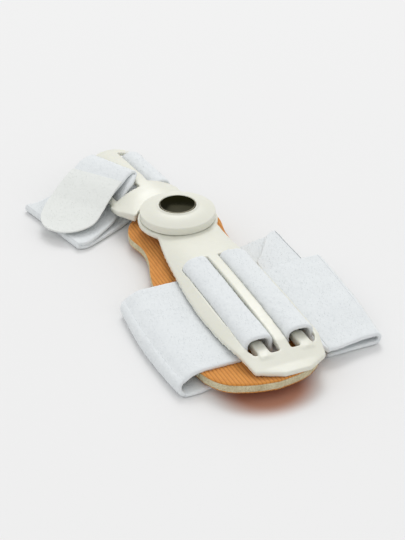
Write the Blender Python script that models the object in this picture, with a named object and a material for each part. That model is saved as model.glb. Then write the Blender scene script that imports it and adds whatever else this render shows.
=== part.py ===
# Hinged bunion splint lying open on a surface: a moulded plate with two windows, a toe arm that
# swings about a covered hinge, a cloth-faced foam pad and two plush straps.
#
# The model stands on z = 0, +Y runs from the heel end towards the toe, +X to the right and +Z up.
# The origin is on the wide strap's resting face, straight below the middle of the plate's windows.

import bpy
import bmesh
from math import cos, pi, radians, sin, sqrt
from mathutils import Matrix, Vector

# Driving dimensions, in millimetres unless a name says otherwise
GAP = 0.3

# Hinge
HINGE_FROM_STRAP = 67.3
DISC_RADIUS = 16.0
DISC_RIM_HEIGHT = 3.5
DISC_CONE_RISE = 2.3
DISC_LIP_WIDTH = 0.7
DISC_LIP_RISE = 0.35
DISC_CORNER = 0.5
CAP_RADIUS = 7.5
CAP_THICKNESS = 1.2
CAP_DOME = 0.4
CAP_FLOOR = 1.8
FLANGE_WIDTH = 1.3
FLANGE_THICKNESS = 2.0
FLANGE_CORNER = 0.35
ARM_RING_RADIUS = 14.5
ARM_RING_THICKNESS = 1.7
PIN_RADIUS = 5.5
PIN_REACH = 2.4
PIN_HEAD_WIDTH = 3.0
PIN_HEAD_THICKNESS = 1.4
PIN_OVER_PAD = 0.9
ARM_REST_DEGREES = 5.0

# Plate
PLATE_LENGTH = 111.5
PLATE_THICKNESS = 1.8
PLATE_ARCH = 4.4
PLATE_ARCH_POWER = 3.5
PLATE_END_FALL = 5.2
FRAME_WIDTH = 4.8
RIB_HALF_WIDTH = 2.2
RIB_DEPTH = 4.4
RIB_WEB_INSET = 0.2
RIB_PAST_WINDOW = 3.0
WINDOW_FROM_HINGE = 36.0
HEEL_PLATE_LENGTH = 10.5
WINDOW_SLANT = 2.4
WINDOW_CORNER = 2.3
WINDOW_CORNER_RUN = 1.6
WINDOW_CORNER_SHARE = 0.35
WINDOW_TOE_CURVE = 0.15
BAR_RADIUS = 2.3
BAR_LIFT = 2.5
BAR_SEAT = 1.5

# Toe arm
ARM_LENGTH = 71.0
ARM_THICKNESS = 1.8
ARM_HALF_WIDTH = 17.4
ARM_RISE = 3.6
ARM_DROOP = 7.0
ARM_ARCH_POWER = 2.0
ARM_RIB_HALF_WIDTH = 2.6
ARM_RUNNING_GAP = 0.9
ARM_ROOT_REACH = 13.4
NECK_HALF_WIDTH = 8.7
NECK_OVERLAP = 2.5
NECK_INSET = 0.1
ARM_TIP_LENGTH = 5.0
ARM_BAR_X = 12.2
ARM_BAR_RADIUS = 1.7
ARM_BAR_DROP = 5.6
SLOT_END_GAP = 0.8

# Pad
PAD_LENGTH = 110.0
PAD_LEFT = 31.0
PAD_RIGHT = 20.0
FOAM_THICKNESS = 2.4
COVER_THICKNESS = 0.5

# Straps
WIDE_STRAP_WIDTH = 57.0
STRAP_THICKNESS = 2.0
STRAP_BEND = 1.7
STRAP_EDGE_ROUNDING = 0.8
STRAP_SIDE_GAP = 1.4
LEFT_REACH = 38.0
LEFT_FOLD_RADIUS = 2.0
FOLD_BOW = 4.2
RIGHT_REACH = 44.4
RIGHT_SKEW = 4.0
PACK_REACH = 38.6
PACK_FOLD_RADIUS = 1.2
PACK_SHIFT = 27.0
LIFT_START = 0.04
LIFT_END = 0.42
TOE_STRAP_WIDTH = 32.0
TOE_STRAP_REACH = 43.5
TOE_FOLD_REACH = 42.3
TOE_FOLD_TILT = 1.5
TOE_FOLD_WIDEN = 1.12
RIDGE_RISE = 0.7
RIDGE_TILT = -2.0
TAB_THICKNESS = 1.0
TAB_CLEARANCE = 0.7
TAB_REACH = 46.2
TAB_WIDTH = 28.5
TAB_BLUNT_SHARE = 0.17

# Levels and fits that follow
HALF_STRAP = STRAP_THICKNESS / 2
PAD_BOTTOM = STRAP_THICKNESS + GAP
FOAM_BOTTOM = PAD_BOTTOM + COVER_THICKNESS + GAP
TOP_COVER_BOTTOM = FOAM_BOTTOM + FOAM_THICKNESS + GAP
PAD_TOP = TOP_COVER_BOTTOM + COVER_THICKNESS
STRAP_OVER_PAD = PAD_TOP + GAP + HALF_STRAP
PLATE_EDGE_BOTTOM = STRAP_OVER_PAD + HALF_STRAP + GAP
PLATE_CROWN = PLATE_EDGE_BOTTOM + PLATE_THICKNESS + PLATE_ARCH
BAR_LEVEL = STRAP_OVER_PAD + BAR_LIFT
WRAP_RADIUS = BAR_RADIUS + GAP + HALF_STRAP
BAR_X = RIB_HALF_WIDTH + STRAP_SIDE_GAP + HALF_STRAP + WRAP_RADIUS
WINDOW_OUTER = BAR_X + WRAP_RADIUS + HALF_STRAP + STRAP_SIDE_GAP
PLATE_HALF_WIDTH = WINDOW_OUTER + FRAME_WIDTH
FLANGE_RADIUS = DISC_RADIUS + FLANGE_WIDTH
PIN_HEAD_BOTTOM = PAD_TOP + PIN_OVER_PAD
ARM_RING_BOTTOM = PIN_HEAD_BOTTOM + PIN_HEAD_THICKNESS + GAP
ARM_RING_TOP = ARM_RING_BOTTOM + ARM_RING_THICKNESS
FLANGE_BOTTOM = ARM_RING_TOP + GAP
FLANGE_TOP = FLANGE_BOTTOM + FLANGE_THICKNESS
DISC_BOTTOM = FLANGE_TOP + GAP
DISC_RIM_TOP = DISC_BOTTOM + DISC_RIM_HEIGHT
DISC_TOP = DISC_RIM_TOP + DISC_CONE_RISE
CAP_SEAT = DISC_BOTTOM + PIN_REACH + GAP + CAP_FLOOR
WINDOW_LENGTH = PLATE_LENGTH - WINDOW_FROM_HINGE - HEEL_PLATE_LENGTH
SLOT_LENGTH = TOE_STRAP_WIDTH + 2 * SLOT_END_GAP
SLOT_FROM_HINGE = ARM_LENGTH - ARM_TIP_LENGTH - SLOT_LENGTH
SLOT_MIDDLE = SLOT_FROM_HINGE + SLOT_LENGTH / 2
ARM_CROWN = ARM_RING_TOP + ARM_RISE
ARM_BAR_LEVEL = ARM_CROWN - ARM_BAR_DROP

# Fineness of the round shapes
ROUND_SEGMENTS = 48
BAR_SEGMENTS = 16
PIN_SEGMENTS = 24
SHELL_SPANS = 12
WIDE_STRAP_SPANS = 8
TOE_STRAP_SPANS = 4
PACK_FOLD_STEPS = 6
TOE_FOLD_STEPS = 6
LEFT_FOLD_STEPS = 8

# Height of the plate's surface and its outline along its length. Lengths are shares of PLATE_LENGTH
# and PLATE_HALF_WIDTH; rise is a share of the way from the flange's top up to the crown, fall a share
# of PLATE_END_FALL, and droop a share of PLATE_ARCH.
# Columns: along, left, right, rise, fall, droop
PLATE_ROWS = (
    (0.000, 0.62, 0.62, -0.03, 0.00, 0.00),
    (0.080, 0.69, 0.69, -0.03, 0.00, 0.00),
    (0.115, 0.72, 0.71, 0.02, 0.00, 0.12),
    (0.160, 0.76, 0.74, 0.18, 0.00, 0.44),
    (0.240, 0.83, 0.79, 0.55, 0.00, 0.76),
    (0.360, 0.91, 0.85, 0.90, 0.00, 0.92),
    (0.490, 0.98, 0.88, 1.00, 0.00, 1.00),
    (0.630, 1.00, 0.89, 0.97, 0.02, 0.96),
    (0.760, 0.96, 0.87, 0.95, 0.12, 0.80),
    (0.870, 0.89, 0.82, 0.95, 0.30, 0.36),
    (0.960, 0.79, 0.69, 0.92, 0.82, 0.12),
    (1.000, 0.27, 0.27, 0.92, 0.93, 0.01),
)
PLATE_STRAIGHT_ENDS = 2

# The toe arm in the same way. along is a share of the way from the round edge beside the flange to
# the tip; the others are shares of ARM_HALF_WIDTH, ARM_RISE, ARM_DROOP and ARM_THICKNESS.
# Columns: along, half_width, rise, droop, wall
ARM_ROWS = (
    (0.000, 0.78, 0.62, 0.20, 1.80),
    (0.090, 0.87, 0.76, 0.36, 1.60),
    (0.220, 0.96, 0.92, 0.66, 1.05),
    (0.380, 1.00, 1.00, 0.92, 1.00),
    (0.540, 1.00, 0.97, 1.00, 1.00),
    (0.710, 0.97, 0.90, 0.90, 1.00),
    (0.840, 0.88, 0.82, 0.70, 1.00),
    (0.920, 0.74, 0.75, 0.48, 1.00),
    (0.970, 0.52, 0.70, 0.24, 1.00),
    (1.000, 0.22, 0.66, 0.05, 1.00),
)

# The pad's outline from its round head to its heel end: along is a share of PAD_LENGTH measured from
# the hinge, left of PAD_LEFT and right of PAD_RIGHT.
# Columns: along, left, right
PAD_ROWS = (
    (-0.196, 0.02, 0.02),
    (-0.175, 0.29, 0.44),
    (-0.122, 0.54, 0.82),
    (-0.035, 0.66, 1.02),
    (0.070, 0.61, 0.92),
    (0.160, 0.65, 0.89),
    (0.260, 0.76, 0.94),
    (0.430, 0.89, 0.98),
    (0.650, 0.98, 0.99),
    (0.800, 1.01, 0.92),
    (0.890, 0.95, 0.77),
    (0.950, 0.80, 0.48),
    (0.985, 0.53, 0.12),
    (1.000, 0.26, -0.38),
)

# The wide strap's free stretches. across is a share of the reach on that side, height a share of the
# way between the layer's two levels, along a share of PACK_SHIFT, lift a share of the pack below,
# skew turns the strap's width in degrees, and bow pushes its middle out by a share of FOLD_BOW.
# Columns: across, height, along, lift, skew, bow
HIDDEN_END_SHARES = (0.58, 0.70, 0.82)
RIGHT_TOP_ROWS = (
    (0.82, 0.04, -0.05, 1.00, 4.0, 0.0),
    (0.69, 0.16, -0.04, 1.00, 3.0, 0.0),
    (0.59, 0.44, -0.03, 0.80, 1.5, 0.0),
    (0.51, 0.82, -0.01, 0.35, 0.0, 0.0),
    (0.45, 1.00, 0.00, 0.00, 0.0, 0.0),
)
LEFT_TOP_ROWS = (
    (0.52, 1.00, 0.00, 0.0, 0.0, 0.0),
    (0.68, 1.00, 0.00, 0.0, 0.0, 0.3),
    (0.82, 0.99, 0.00, 0.0, -1.0, 0.6),
    (0.90, 0.80, -0.01, 0.0, -1.0, 0.8),
    (0.96, 0.42, -0.02, 0.0, -1.0, 0.9),
)
BOTTOM_ROWS = (
    (-0.80, 0.0, -0.12, 0.0, -1.0, 0.8),
    (-0.50, 0.0, 0.02, 0.0, -6.0, 0.4),
    (-0.20, 0.0, 0.26, 0.0, -12.0, 0.0),
    (0.15, 0.0, 0.54, 0.0, -12.0, 0.0),
    (0.50, 0.0, 0.79, 0.0, -8.0, 0.0),
    (0.80, 0.0, 0.94, 0.0, -3.0, 0.0),
)
PACK_TOP_ROWS = (
    (0.92, 0.0, 0.93, 0.0, 0.0, 0.0),
    (0.76, 0.0, 0.74, 0.0, 3.0, 0.0),
    (0.63, 0.0, 0.56, 0.0, 5.0, 0.0),
)

# The toe strap's route seen from the arm's heel end: across is a share of TOE_STRAP_REACH to the
# right, height in shares of the arm's crown, along a share of TOE_STRAP_WIDTH towards the toe, and
# skew turns the strap's width in degrees.
# Columns: across, height, along, skew
TOE_SEWN_ROWS = (
    (-0.060, 0.268, 0.00, 0.0),
    (0.060, 0.272, 0.00, 0.0),
    (0.118, 0.335, 0.00, 0.0),
    (0.143, 0.480, 0.00, 0.0),
    (0.160, 0.630, 0.00, 0.0),
    (0.193, 0.755, 0.00, 0.0),
    (0.245, 0.820, 0.00, 0.0),
    (0.305, 0.800, 0.00, 0.0),
    (0.342, 0.725, 0.00, 0.0),
    (0.358, 0.600, 0.00, 0.0),
    (0.352, 0.440, 0.00, 0.0),
    (0.330, 0.270, 0.00, 0.0),
    (0.285, 0.125, 0.00, -2.0),
    (0.205, 0.074, -0.01, -5.0),
    (0.000, 0.074, -0.05, -10.0),
    (-0.240, 0.074, -0.16, -18.0),
    (-0.560, 0.074, -0.34, -21.0),
    (-0.880, 0.074, -0.50, -18.0),
)
TOE_RETURN_ROWS = (
    (-0.880, 0.300, -0.49, -17.0),
    (-0.640, 0.305, -0.30, -17.0),
    (-0.420, 0.320, -0.16, -13.0),
    (-0.290, 0.345, -0.07, -8.0),
    (-0.215, 0.430, -0.02, -3.0),
    (-0.180, 0.600, 0.00, -1.0),
    (-0.166, 0.770, 0.00, -1.0),
    (-0.152, 0.930, 0.00, -3.0),
    (-0.140, 1.055, 0.00, -6.0),
)
TOE_RIDGE_ROWS = (
    (-0.142, 0.80, 0.01, -11.0),
    (-0.162, 1.10, 0.01, -16.0),
    (-0.205, 1.15, 0.00, -21.0),
    (-0.275, 0.80, -0.04, -24.0),
)
TOE_FREE_ROWS = (
    (-0.370, 1.060, -0.12, -26.0),
    (-0.480, 0.930, -0.20, -27.0),
    (-0.600, 0.720, -0.29, -28.0),
    (-0.700, 0.540, -0.37, -29.0),
)
TAB_ROWS = (
    (-0.820, 0.455, -0.49, -29.0),
    (-0.920, 0.415, -0.57, -29.0),
    (-1.000, 0.395, -0.63, -29.0),
    (-1.060, 0.385, -0.67, -29.0),
)


def clear_scene():
    for item in list(bpy.data.objects):
        bpy.data.objects.remove(item, do_unlink=True)


def finish(name, color, roughness, metallic=0.0):
    """A plain Principled finish."""
    material = bpy.data.materials.new(name)
    material.use_nodes = True
    shader = material.node_tree.nodes["Principled BSDF"]
    shader.inputs["Base Color"].default_value = (*color, 1.0)
    shader.inputs["Roughness"].default_value = roughness
    shader.inputs["Metallic"].default_value = metallic
    material.diffuse_color = (*color, 1.0)
    return material


def frame_empty(name, degrees):
    """An empty on the hinge's axis, turned about it."""
    empty = bpy.data.objects.new(name, None)
    empty.location = (0.0, HINGE_FROM_STRAP * 0.001, 0.0)
    empty.rotation_euler = (0.0, 0.0, radians(degrees))
    bpy.context.collection.objects.link(empty)
    return empty


def add_object(name, bm, material=None, parent=None, smooth_degrees=40.0):
    """Closes a bmesh drawn in millimetres into an object in metres."""
    bmesh.ops.remove_doubles(bm, verts=bm.verts, dist=1e-4)
    bmesh.ops.scale(bm, vec=(0.001, 0.001, 0.001), verts=bm.verts)
    bmesh.ops.recalc_face_normals(bm, faces=bm.faces)
    mesh = bpy.data.meshes.new(name)
    bm.to_mesh(mesh)
    bm.free()
    mesh.shade_smooth()
    mesh.set_sharp_from_angle(angle=radians(smooth_degrees))
    item = bpy.data.objects.new(name, mesh)
    if material is not None:
        mesh.materials.append(material)
    item.parent = parent
    bpy.context.collection.objects.link(item)
    return item


def combine(target, operand, operation):
    """Joins an operand to a target, or cuts it out, and keeps the operand as a guide."""
    operand.hide_render = True
    operand.display_type = "WIRE"
    modifier = target.modifiers.new(operand.name, "BOOLEAN")
    modifier.operation = operation
    modifier.solver = "EXACT"
    modifier.object = operand


def smooth_rows(rows, steps, straight_ends=0):
    """Rows between a table's rows, on a Catmull-Rom curve; the last intervals can stay straight."""
    result = []
    last = len(rows) - 1
    for index in range(last):
        before = rows[max(index - 1, 0)]
        start = rows[index]
        end = rows[index + 1]
        after = rows[min(index + 2, last)]
        straight = index >= last - straight_ends
        for step in range(1 if straight else steps):
            t = step / steps
            row = []
            for a, b, c, d in zip(before, start, end, after):
                bend = (c - a) * t + (2 * a - 5 * b + 4 * c - d) * t**2 + (3 * b - a - 3 * c + d) * t**3
                row.append(b + 0.5 * bend)
            result.append(tuple(row))
    result.append(tuple(rows[last]))
    return result


def arc(center_x, center_z, radius, start, end, steps):
    """Points on an arc in the XZ plane, both ends included; angles in degrees from +X towards +Z."""
    points = []
    for step in range(steps + 1):
        angle = radians(start + (end - start) * step / steps)
        points.append((center_x + radius * cos(angle), center_z + radius * sin(angle)))
    return points


def turned(name, profile, segments, material=None, parent=None, smooth_degrees=40.0):
    """A solid turned about the hinge's axis from a closed outline of (radius, height)."""
    bm = bmesh.new()
    verts = [bm.verts.new((radius, 0.0, height)) for radius, height in profile]
    edges = []
    for index, vert in enumerate(verts):
        following = verts[(index + 1) % len(verts)]
        on_axis = vert.co.x == 0.0 and following.co.x == 0.0
        if not on_axis:
            edges.append(bm.edges.new((vert, following)))
    bmesh.ops.spin(bm, geom=verts + edges, cent=(0, 0, 0), axis=(0, 0, 1), angle=2 * pi,
                   steps=segments, use_merge=True)
    bmesh.ops.rotate(bm, verts=bm.verts, matrix=Matrix.Rotation(pi / segments, 3, "Z"))
    return add_object(name, bm, material, parent, smooth_degrees)


def prism(name, outline, bottom, top, material=None, parent=None, smooth_degrees=40.0):
    """A flat-sided solid over an outline of (x, y)."""
    bm = bmesh.new()
    base = bm.faces.new([bm.verts.new((x, y, bottom)) for x, y in outline])
    grown = bmesh.ops.extrude_face_region(bm, geom=[base])
    moved = [item for item in grown["geom"] if isinstance(item, bmesh.types.BMVert)]
    bmesh.ops.translate(bm, verts=moved, vec=(0.0, 0.0, top - bottom))
    return add_object(name, bm, material, parent, smooth_degrees)


def loft(name, loops, material=None, parent=None, smooth_degrees=40.0):
    """A closed solid through loops of points, capped at its first and last loop."""
    bm = bmesh.new()
    rings = [[bm.verts.new(point) for point in loop] for loop in loops]
    count = len(rings[0])
    for ring, following in zip(rings, rings[1:]):
        for index in range(count):
            across = (index + 1) % count
            bm.faces.new((ring[index], ring[across], following[across], following[index]))
    bm.faces.new(rings[0])
    bm.faces.new(list(reversed(rings[-1])))
    bmesh.ops.triangulate(bm, faces=bm.faces)
    return add_object(name, bm, material, parent, smooth_degrees)


def arched_loop(y, left, right, crown, droop, power, thickness):
    """One section of a moulded shell: an arched top and the same arch one wall lower."""
    top = []
    for index in range(SHELL_SPANS + 1):
        share = 2 * index / SHELL_SPANS - 1
        reach = right if share > 0 else left
        top.append(Vector((reach * share, y, crown - droop * abs(share) ** power)))
    bottom = [point - Vector((0.0, 0.0, thickness)) for point in reversed(top)]
    return top + bottom


def lengthwise_bar(name, x, y_start, y_end, level, radius, parent):
    """A round bar along Y."""
    bm = bmesh.new()
    bmesh.ops.create_cone(bm, cap_ends=True, segments=BAR_SEGMENTS, radius1=radius, radius2=radius,
                          depth=y_end - y_start)
    bmesh.ops.rotate(bm, verts=bm.verts, matrix=Matrix.Rotation(pi / BAR_SEGMENTS, 3, "Z"))
    for vert in bm.verts:
        along = vert.co.z + (y_start + y_end) / 2
        vert.co = Vector((x + vert.co.x, along, level + vert.co.y))
    return add_object(name, bm, None, parent)


def plate_level(row):
    """The height of the plate's crown at a row of its table."""
    rise = FLANGE_TOP + row[3] * (PLATE_CROWN - FLANGE_TOP)
    return rise - row[4] * PLATE_END_FALL


def window_outline(side):
    """One window, slanted at its toe end, with cut corners at its heel end."""
    toe = -WINDOW_FROM_HINGE
    heel = -(WINDOW_FROM_HINGE + WINDOW_LENGTH)
    corner = WINDOW_CORNER
    points = (
        (RIB_HALF_WIDTH, toe),
        (BAR_X - BAR_RADIUS, toe - WINDOW_TOE_CURVE * WINDOW_SLANT),
        (WINDOW_OUTER, toe - WINDOW_SLANT),
        (WINDOW_OUTER, (toe + heel) / 2),
        (WINDOW_OUTER - WINDOW_CORNER_SHARE * corner, heel + WINDOW_CORNER_RUN * corner),
        (WINDOW_OUTER - corner, heel + WINDOW_CORNER_SHARE * corner),
        (BAR_X, heel),
        (RIB_HALF_WIDTH, heel),
    )
    return [(side * x, y) for x, y in points]


def make_rib(parent):
    """The web under the strip between the windows; it follows the shell's height."""
    half = RIB_HALF_WIDTH - RIB_WEB_INSET
    web_bottom = max(PLATE_CROWN - RIB_DEPTH, PLATE_EDGE_BOTTOM)
    loops = []
    for row in smooth_rows(PLATE_ROWS, 3, PLATE_STRAIGHT_ENDS):
        y = -row[0] * PLATE_LENGTH
        past_toe = y > -(WINDOW_FROM_HINGE - RIB_PAST_WINDOW)
        past_heel = y < -(WINDOW_FROM_HINGE + WINDOW_LENGTH + RIB_PAST_WINDOW)
        if past_toe or past_heel:
            continue
        top = plate_level(row) - PLATE_THICKNESS / 2
        bottom = min(web_bottom, top - PLATE_THICKNESS)
        loops.append([(-half, y, bottom), (half, y, bottom), (half, y, top), (-half, y, top)])
    return loft("rib_guide", loops, None, parent)


def make_main_plate(parent, material):
    loops = []
    for row in smooth_rows(PLATE_ROWS, 3, PLATE_STRAIGHT_ENDS):
        along, left, right, _, _, droop = row
        loops.append(arched_loop(-along * PLATE_LENGTH, left * PLATE_HALF_WIDTH, right * PLATE_HALF_WIDTH,
                                 plate_level(row), droop * PLATE_ARCH, PLATE_ARCH_POWER, PLATE_THICKNESS))
    plate = loft("main_plate", loops, material, parent)

    outer = FLANGE_RADIUS
    flange = turned("flange_guide", [
        (0.0, FLANGE_BOTTOM), (outer, FLANGE_BOTTOM), (outer, FLANGE_TOP - FLANGE_CORNER),
        (outer - FLANGE_CORNER, FLANGE_TOP), (0.0, FLANGE_TOP)], ROUND_SEGMENTS, None, parent)
    combine(plate, flange, "UNION")

    for side, label in ((-1, "left"), (1, "right")):
        window = prism("window_guide_" + label, window_outline(side), PAD_TOP, DISC_TOP, None, parent)
        combine(plate, window, "DIFFERENCE")
    combine(plate, make_rib(parent), "UNION")
    toe = -(WINDOW_FROM_HINGE - BAR_SEAT)
    heel = -(WINDOW_FROM_HINGE + WINDOW_LENGTH + BAR_SEAT)
    for side, label in ((-1, "left"), (1, "right")):
        bar = lengthwise_bar("bar_guide_" + label, side * BAR_X, heel, toe, BAR_LEVEL, BAR_RADIUS, parent)
        combine(plate, bar, "UNION")

    bore_radius = PIN_RADIUS + GAP
    bore = turned("bore_guide", [
        (0.0, PAD_TOP), (bore_radius, PAD_TOP), (bore_radius, DISC_TOP), (0.0, DISC_TOP)],
        PIN_SEGMENTS, None, parent)
    combine(plate, bore, "DIFFERENCE")
    return plate


def make_disc(parent, plastic, mirror):
    recess = CAP_RADIUS + GAP
    lip = recess + DISC_LIP_WIDTH
    soft = DISC_CORNER
    socket = PIN_RADIUS + GAP
    socket_top = DISC_BOTTOM + PIN_REACH + GAP
    profile = [
        (0.0, socket_top), (socket, socket_top), (socket, DISC_BOTTOM),
        (DISC_RADIUS - soft, DISC_BOTTOM), (DISC_RADIUS, DISC_BOTTOM + soft),
        (DISC_RADIUS, DISC_RIM_TOP - soft), (DISC_RADIUS - soft, DISC_RIM_TOP),
        (lip, DISC_TOP), (lip - DISC_LIP_WIDTH / 2, DISC_TOP + DISC_LIP_RISE),
        (recess, DISC_TOP), (recess, CAP_SEAT), (0.0, CAP_SEAT)]
    turned("hinge_disc", profile, ROUND_SEGMENTS, plastic, parent, 25.0)

    bottom = CAP_SEAT + GAP
    edge = bottom + CAP_THICKNESS
    turned("hinge_cap", [
        (0.0, bottom), (CAP_RADIUS, bottom), (CAP_RADIUS, edge - soft / 2),
        (CAP_RADIUS - soft / 2, edge), (CAP_RADIUS / 2, edge + 0.75 * CAP_DOME),
        (0.0, edge + CAP_DOME)], ROUND_SEGMENTS, mirror, parent, 25.0)

    head = PIN_RADIUS + PIN_HEAD_WIDTH
    turned("hinge_pin", [
        (0.0, PIN_HEAD_BOTTOM), (head, PIN_HEAD_BOTTOM), (head, PIN_HEAD_BOTTOM + PIN_HEAD_THICKNESS),
        (PIN_RADIUS, PIN_HEAD_BOTTOM + PIN_HEAD_THICKNESS), (PIN_RADIUS, DISC_BOTTOM + PIN_REACH),
        (0.0, DISC_BOTTOM + PIN_REACH)], PIN_SEGMENTS, plastic, parent)


def box_outline(x_start, x_end, y_start, y_end):
    return [(x_start, y_start), (x_end, y_start), (x_end, y_end), (x_start, y_end)]


def arm_loop(along, half_width, crown, droop, thickness):
    """One section of the arm, curved in plan about the hinge near the flange and square at the tip."""
    running = FLANGE_RADIUS + ARM_RUNNING_GAP
    loop = arched_loop(0.0, half_width, half_width, crown, droop, ARM_ARCH_POWER, thickness)
    for point in loop:
        start = sqrt(running**2 - min(abs(point.x), ARM_ROOT_REACH) ** 2)
        point.y = start + along * (ARM_LENGTH - start)
    return loop


def make_toe_arm(parent, material):
    loops = []
    for along, half_width, rise, droop, wall in smooth_rows(ARM_ROWS, 3):
        loops.append(arm_loop(along, half_width * ARM_HALF_WIDTH, ARM_RING_TOP + rise * ARM_RISE,
                              droop * ARM_DROOP, wall * ARM_THICKNESS))
    arm = loft("toe_arm", loops, material, parent)

    neck_end = FLANGE_RADIUS + ARM_RUNNING_GAP + NECK_OVERLAP
    neck = prism("neck_guide", box_outline(-NECK_HALF_WIDTH, NECK_HALF_WIDTH, 0.0, neck_end),
                 ARM_RING_BOTTOM + NECK_INSET, ARM_RING_TOP - NECK_INSET, None, parent)
    combine(arm, neck, "UNION")
    ring = turned("ring_guide", [
        (0.0, ARM_RING_BOTTOM), (ARM_RING_RADIUS, ARM_RING_BOTTOM),
        (ARM_RING_RADIUS, ARM_RING_TOP), (0.0, ARM_RING_TOP)], ROUND_SEGMENTS, None, parent)
    combine(arm, ring, "UNION")
    bore_radius = PIN_RADIUS + GAP
    bore = turned("arm_bore_guide", [
        (0.0, PAD_TOP), (bore_radius, PAD_TOP), (bore_radius, DISC_TOP), (0.0, DISC_TOP)],
        PIN_SEGMENTS, None, parent)
    combine(arm, bore, "DIFFERENCE")

    slot_end = SLOT_FROM_HINGE + SLOT_LENGTH
    outside = ARM_HALF_WIDTH + FRAME_WIDTH
    for side, label in ((-1, "left"), (1, "right")):
        outline = box_outline(side * ARM_RIB_HALF_WIDTH, side * outside, SLOT_FROM_HINGE, slot_end)
        slot = prism("slot_guide_" + label, outline, 0.0, DISC_TOP, None, parent)
        combine(arm, slot, "DIFFERENCE")
    for side, label in ((-1, "left"), (1, "right")):
        bar = lengthwise_bar("arm_bar_guide_" + label, side * ARM_BAR_X, SLOT_FROM_HINGE - BAR_SEAT,
                             slot_end + BAR_SEAT, ARM_BAR_LEVEL, ARM_BAR_RADIUS, parent)
        combine(arm, bar, "UNION")
    return arm


def pad_outline():
    left = []
    right = []
    for along, left_share, right_share in smooth_rows(PAD_ROWS, 2):
        y = -along * PAD_LENGTH
        left.append((-left_share * PAD_LEFT, y))
        right.append((right_share * PAD_RIGHT, y))
    return left + list(reversed(right))


def make_pad(parent, cloth, foam):
    outline = pad_outline()
    layers = (
        ("pad_bottom_cover", PAD_BOTTOM, COVER_THICKNESS, cloth),
        ("pad_foam", FOAM_BOTTOM, FOAM_THICKNESS, foam),
        ("pad_top_cover", TOP_COVER_BOTTOM, COVER_THICKNESS, cloth),
    )
    for name, bottom, thickness, material in layers:
        prism(name, outline, bottom, bottom + thickness, material, parent)


def step_up(share):
    """The share of the lift at a point of the width, which runs from the heel side at 0 to 1."""
    t = min(max((share - LIFT_START) / (LIFT_END - LIFT_START), 0.0), 1.0)
    return t * t * (3 - 2 * t)


def even_tilt(share):
    return share


def ribbon_loops(stations, width, thickness, spans, rise_at):
    """Sections of a band: each station is (x, y, z, lift, skew in degrees, width share, bow)."""
    centers = [Vector(station[:3]) for station in stations]
    loops = []
    for index, (center, station) in enumerate(zip(centers, stations)):
        before = centers[max(index - 1, 0)]
        after = centers[min(index + 1, len(centers) - 1)]
        skew = radians(station[4])
        across = Vector((sin(skew), cos(skew), 0.0))
        travel = (after - before).normalized()
        normal = travel.cross(across).normalized() * (thickness / 2)
        half = width * station[5] / 2
        inset = min(STRAP_EDGE_ROUNDING, thickness / 2, half)
        reach = half - inset
        edge_near = center - across * half + Vector((0.0, 0.0, station[3] * rise_at(0.0)))
        edge_far = center + across * half + Vector((0.0, 0.0, station[3] * rise_at(1.0)))
        upper = []
        lower = []
        for step in range(spans + 1):
            share = step / spans
            point = center + across * reach * (2 * share - 1)
            point.z += station[3] * rise_at(share)
            point.x -= station[6] * (1 - (2 * share - 1) ** 2)
            upper.append(point + normal)
            lower.append(point - normal)
        loops.append(upper + [edge_far] + list(reversed(lower)) + [edge_near])
    return loops


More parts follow.
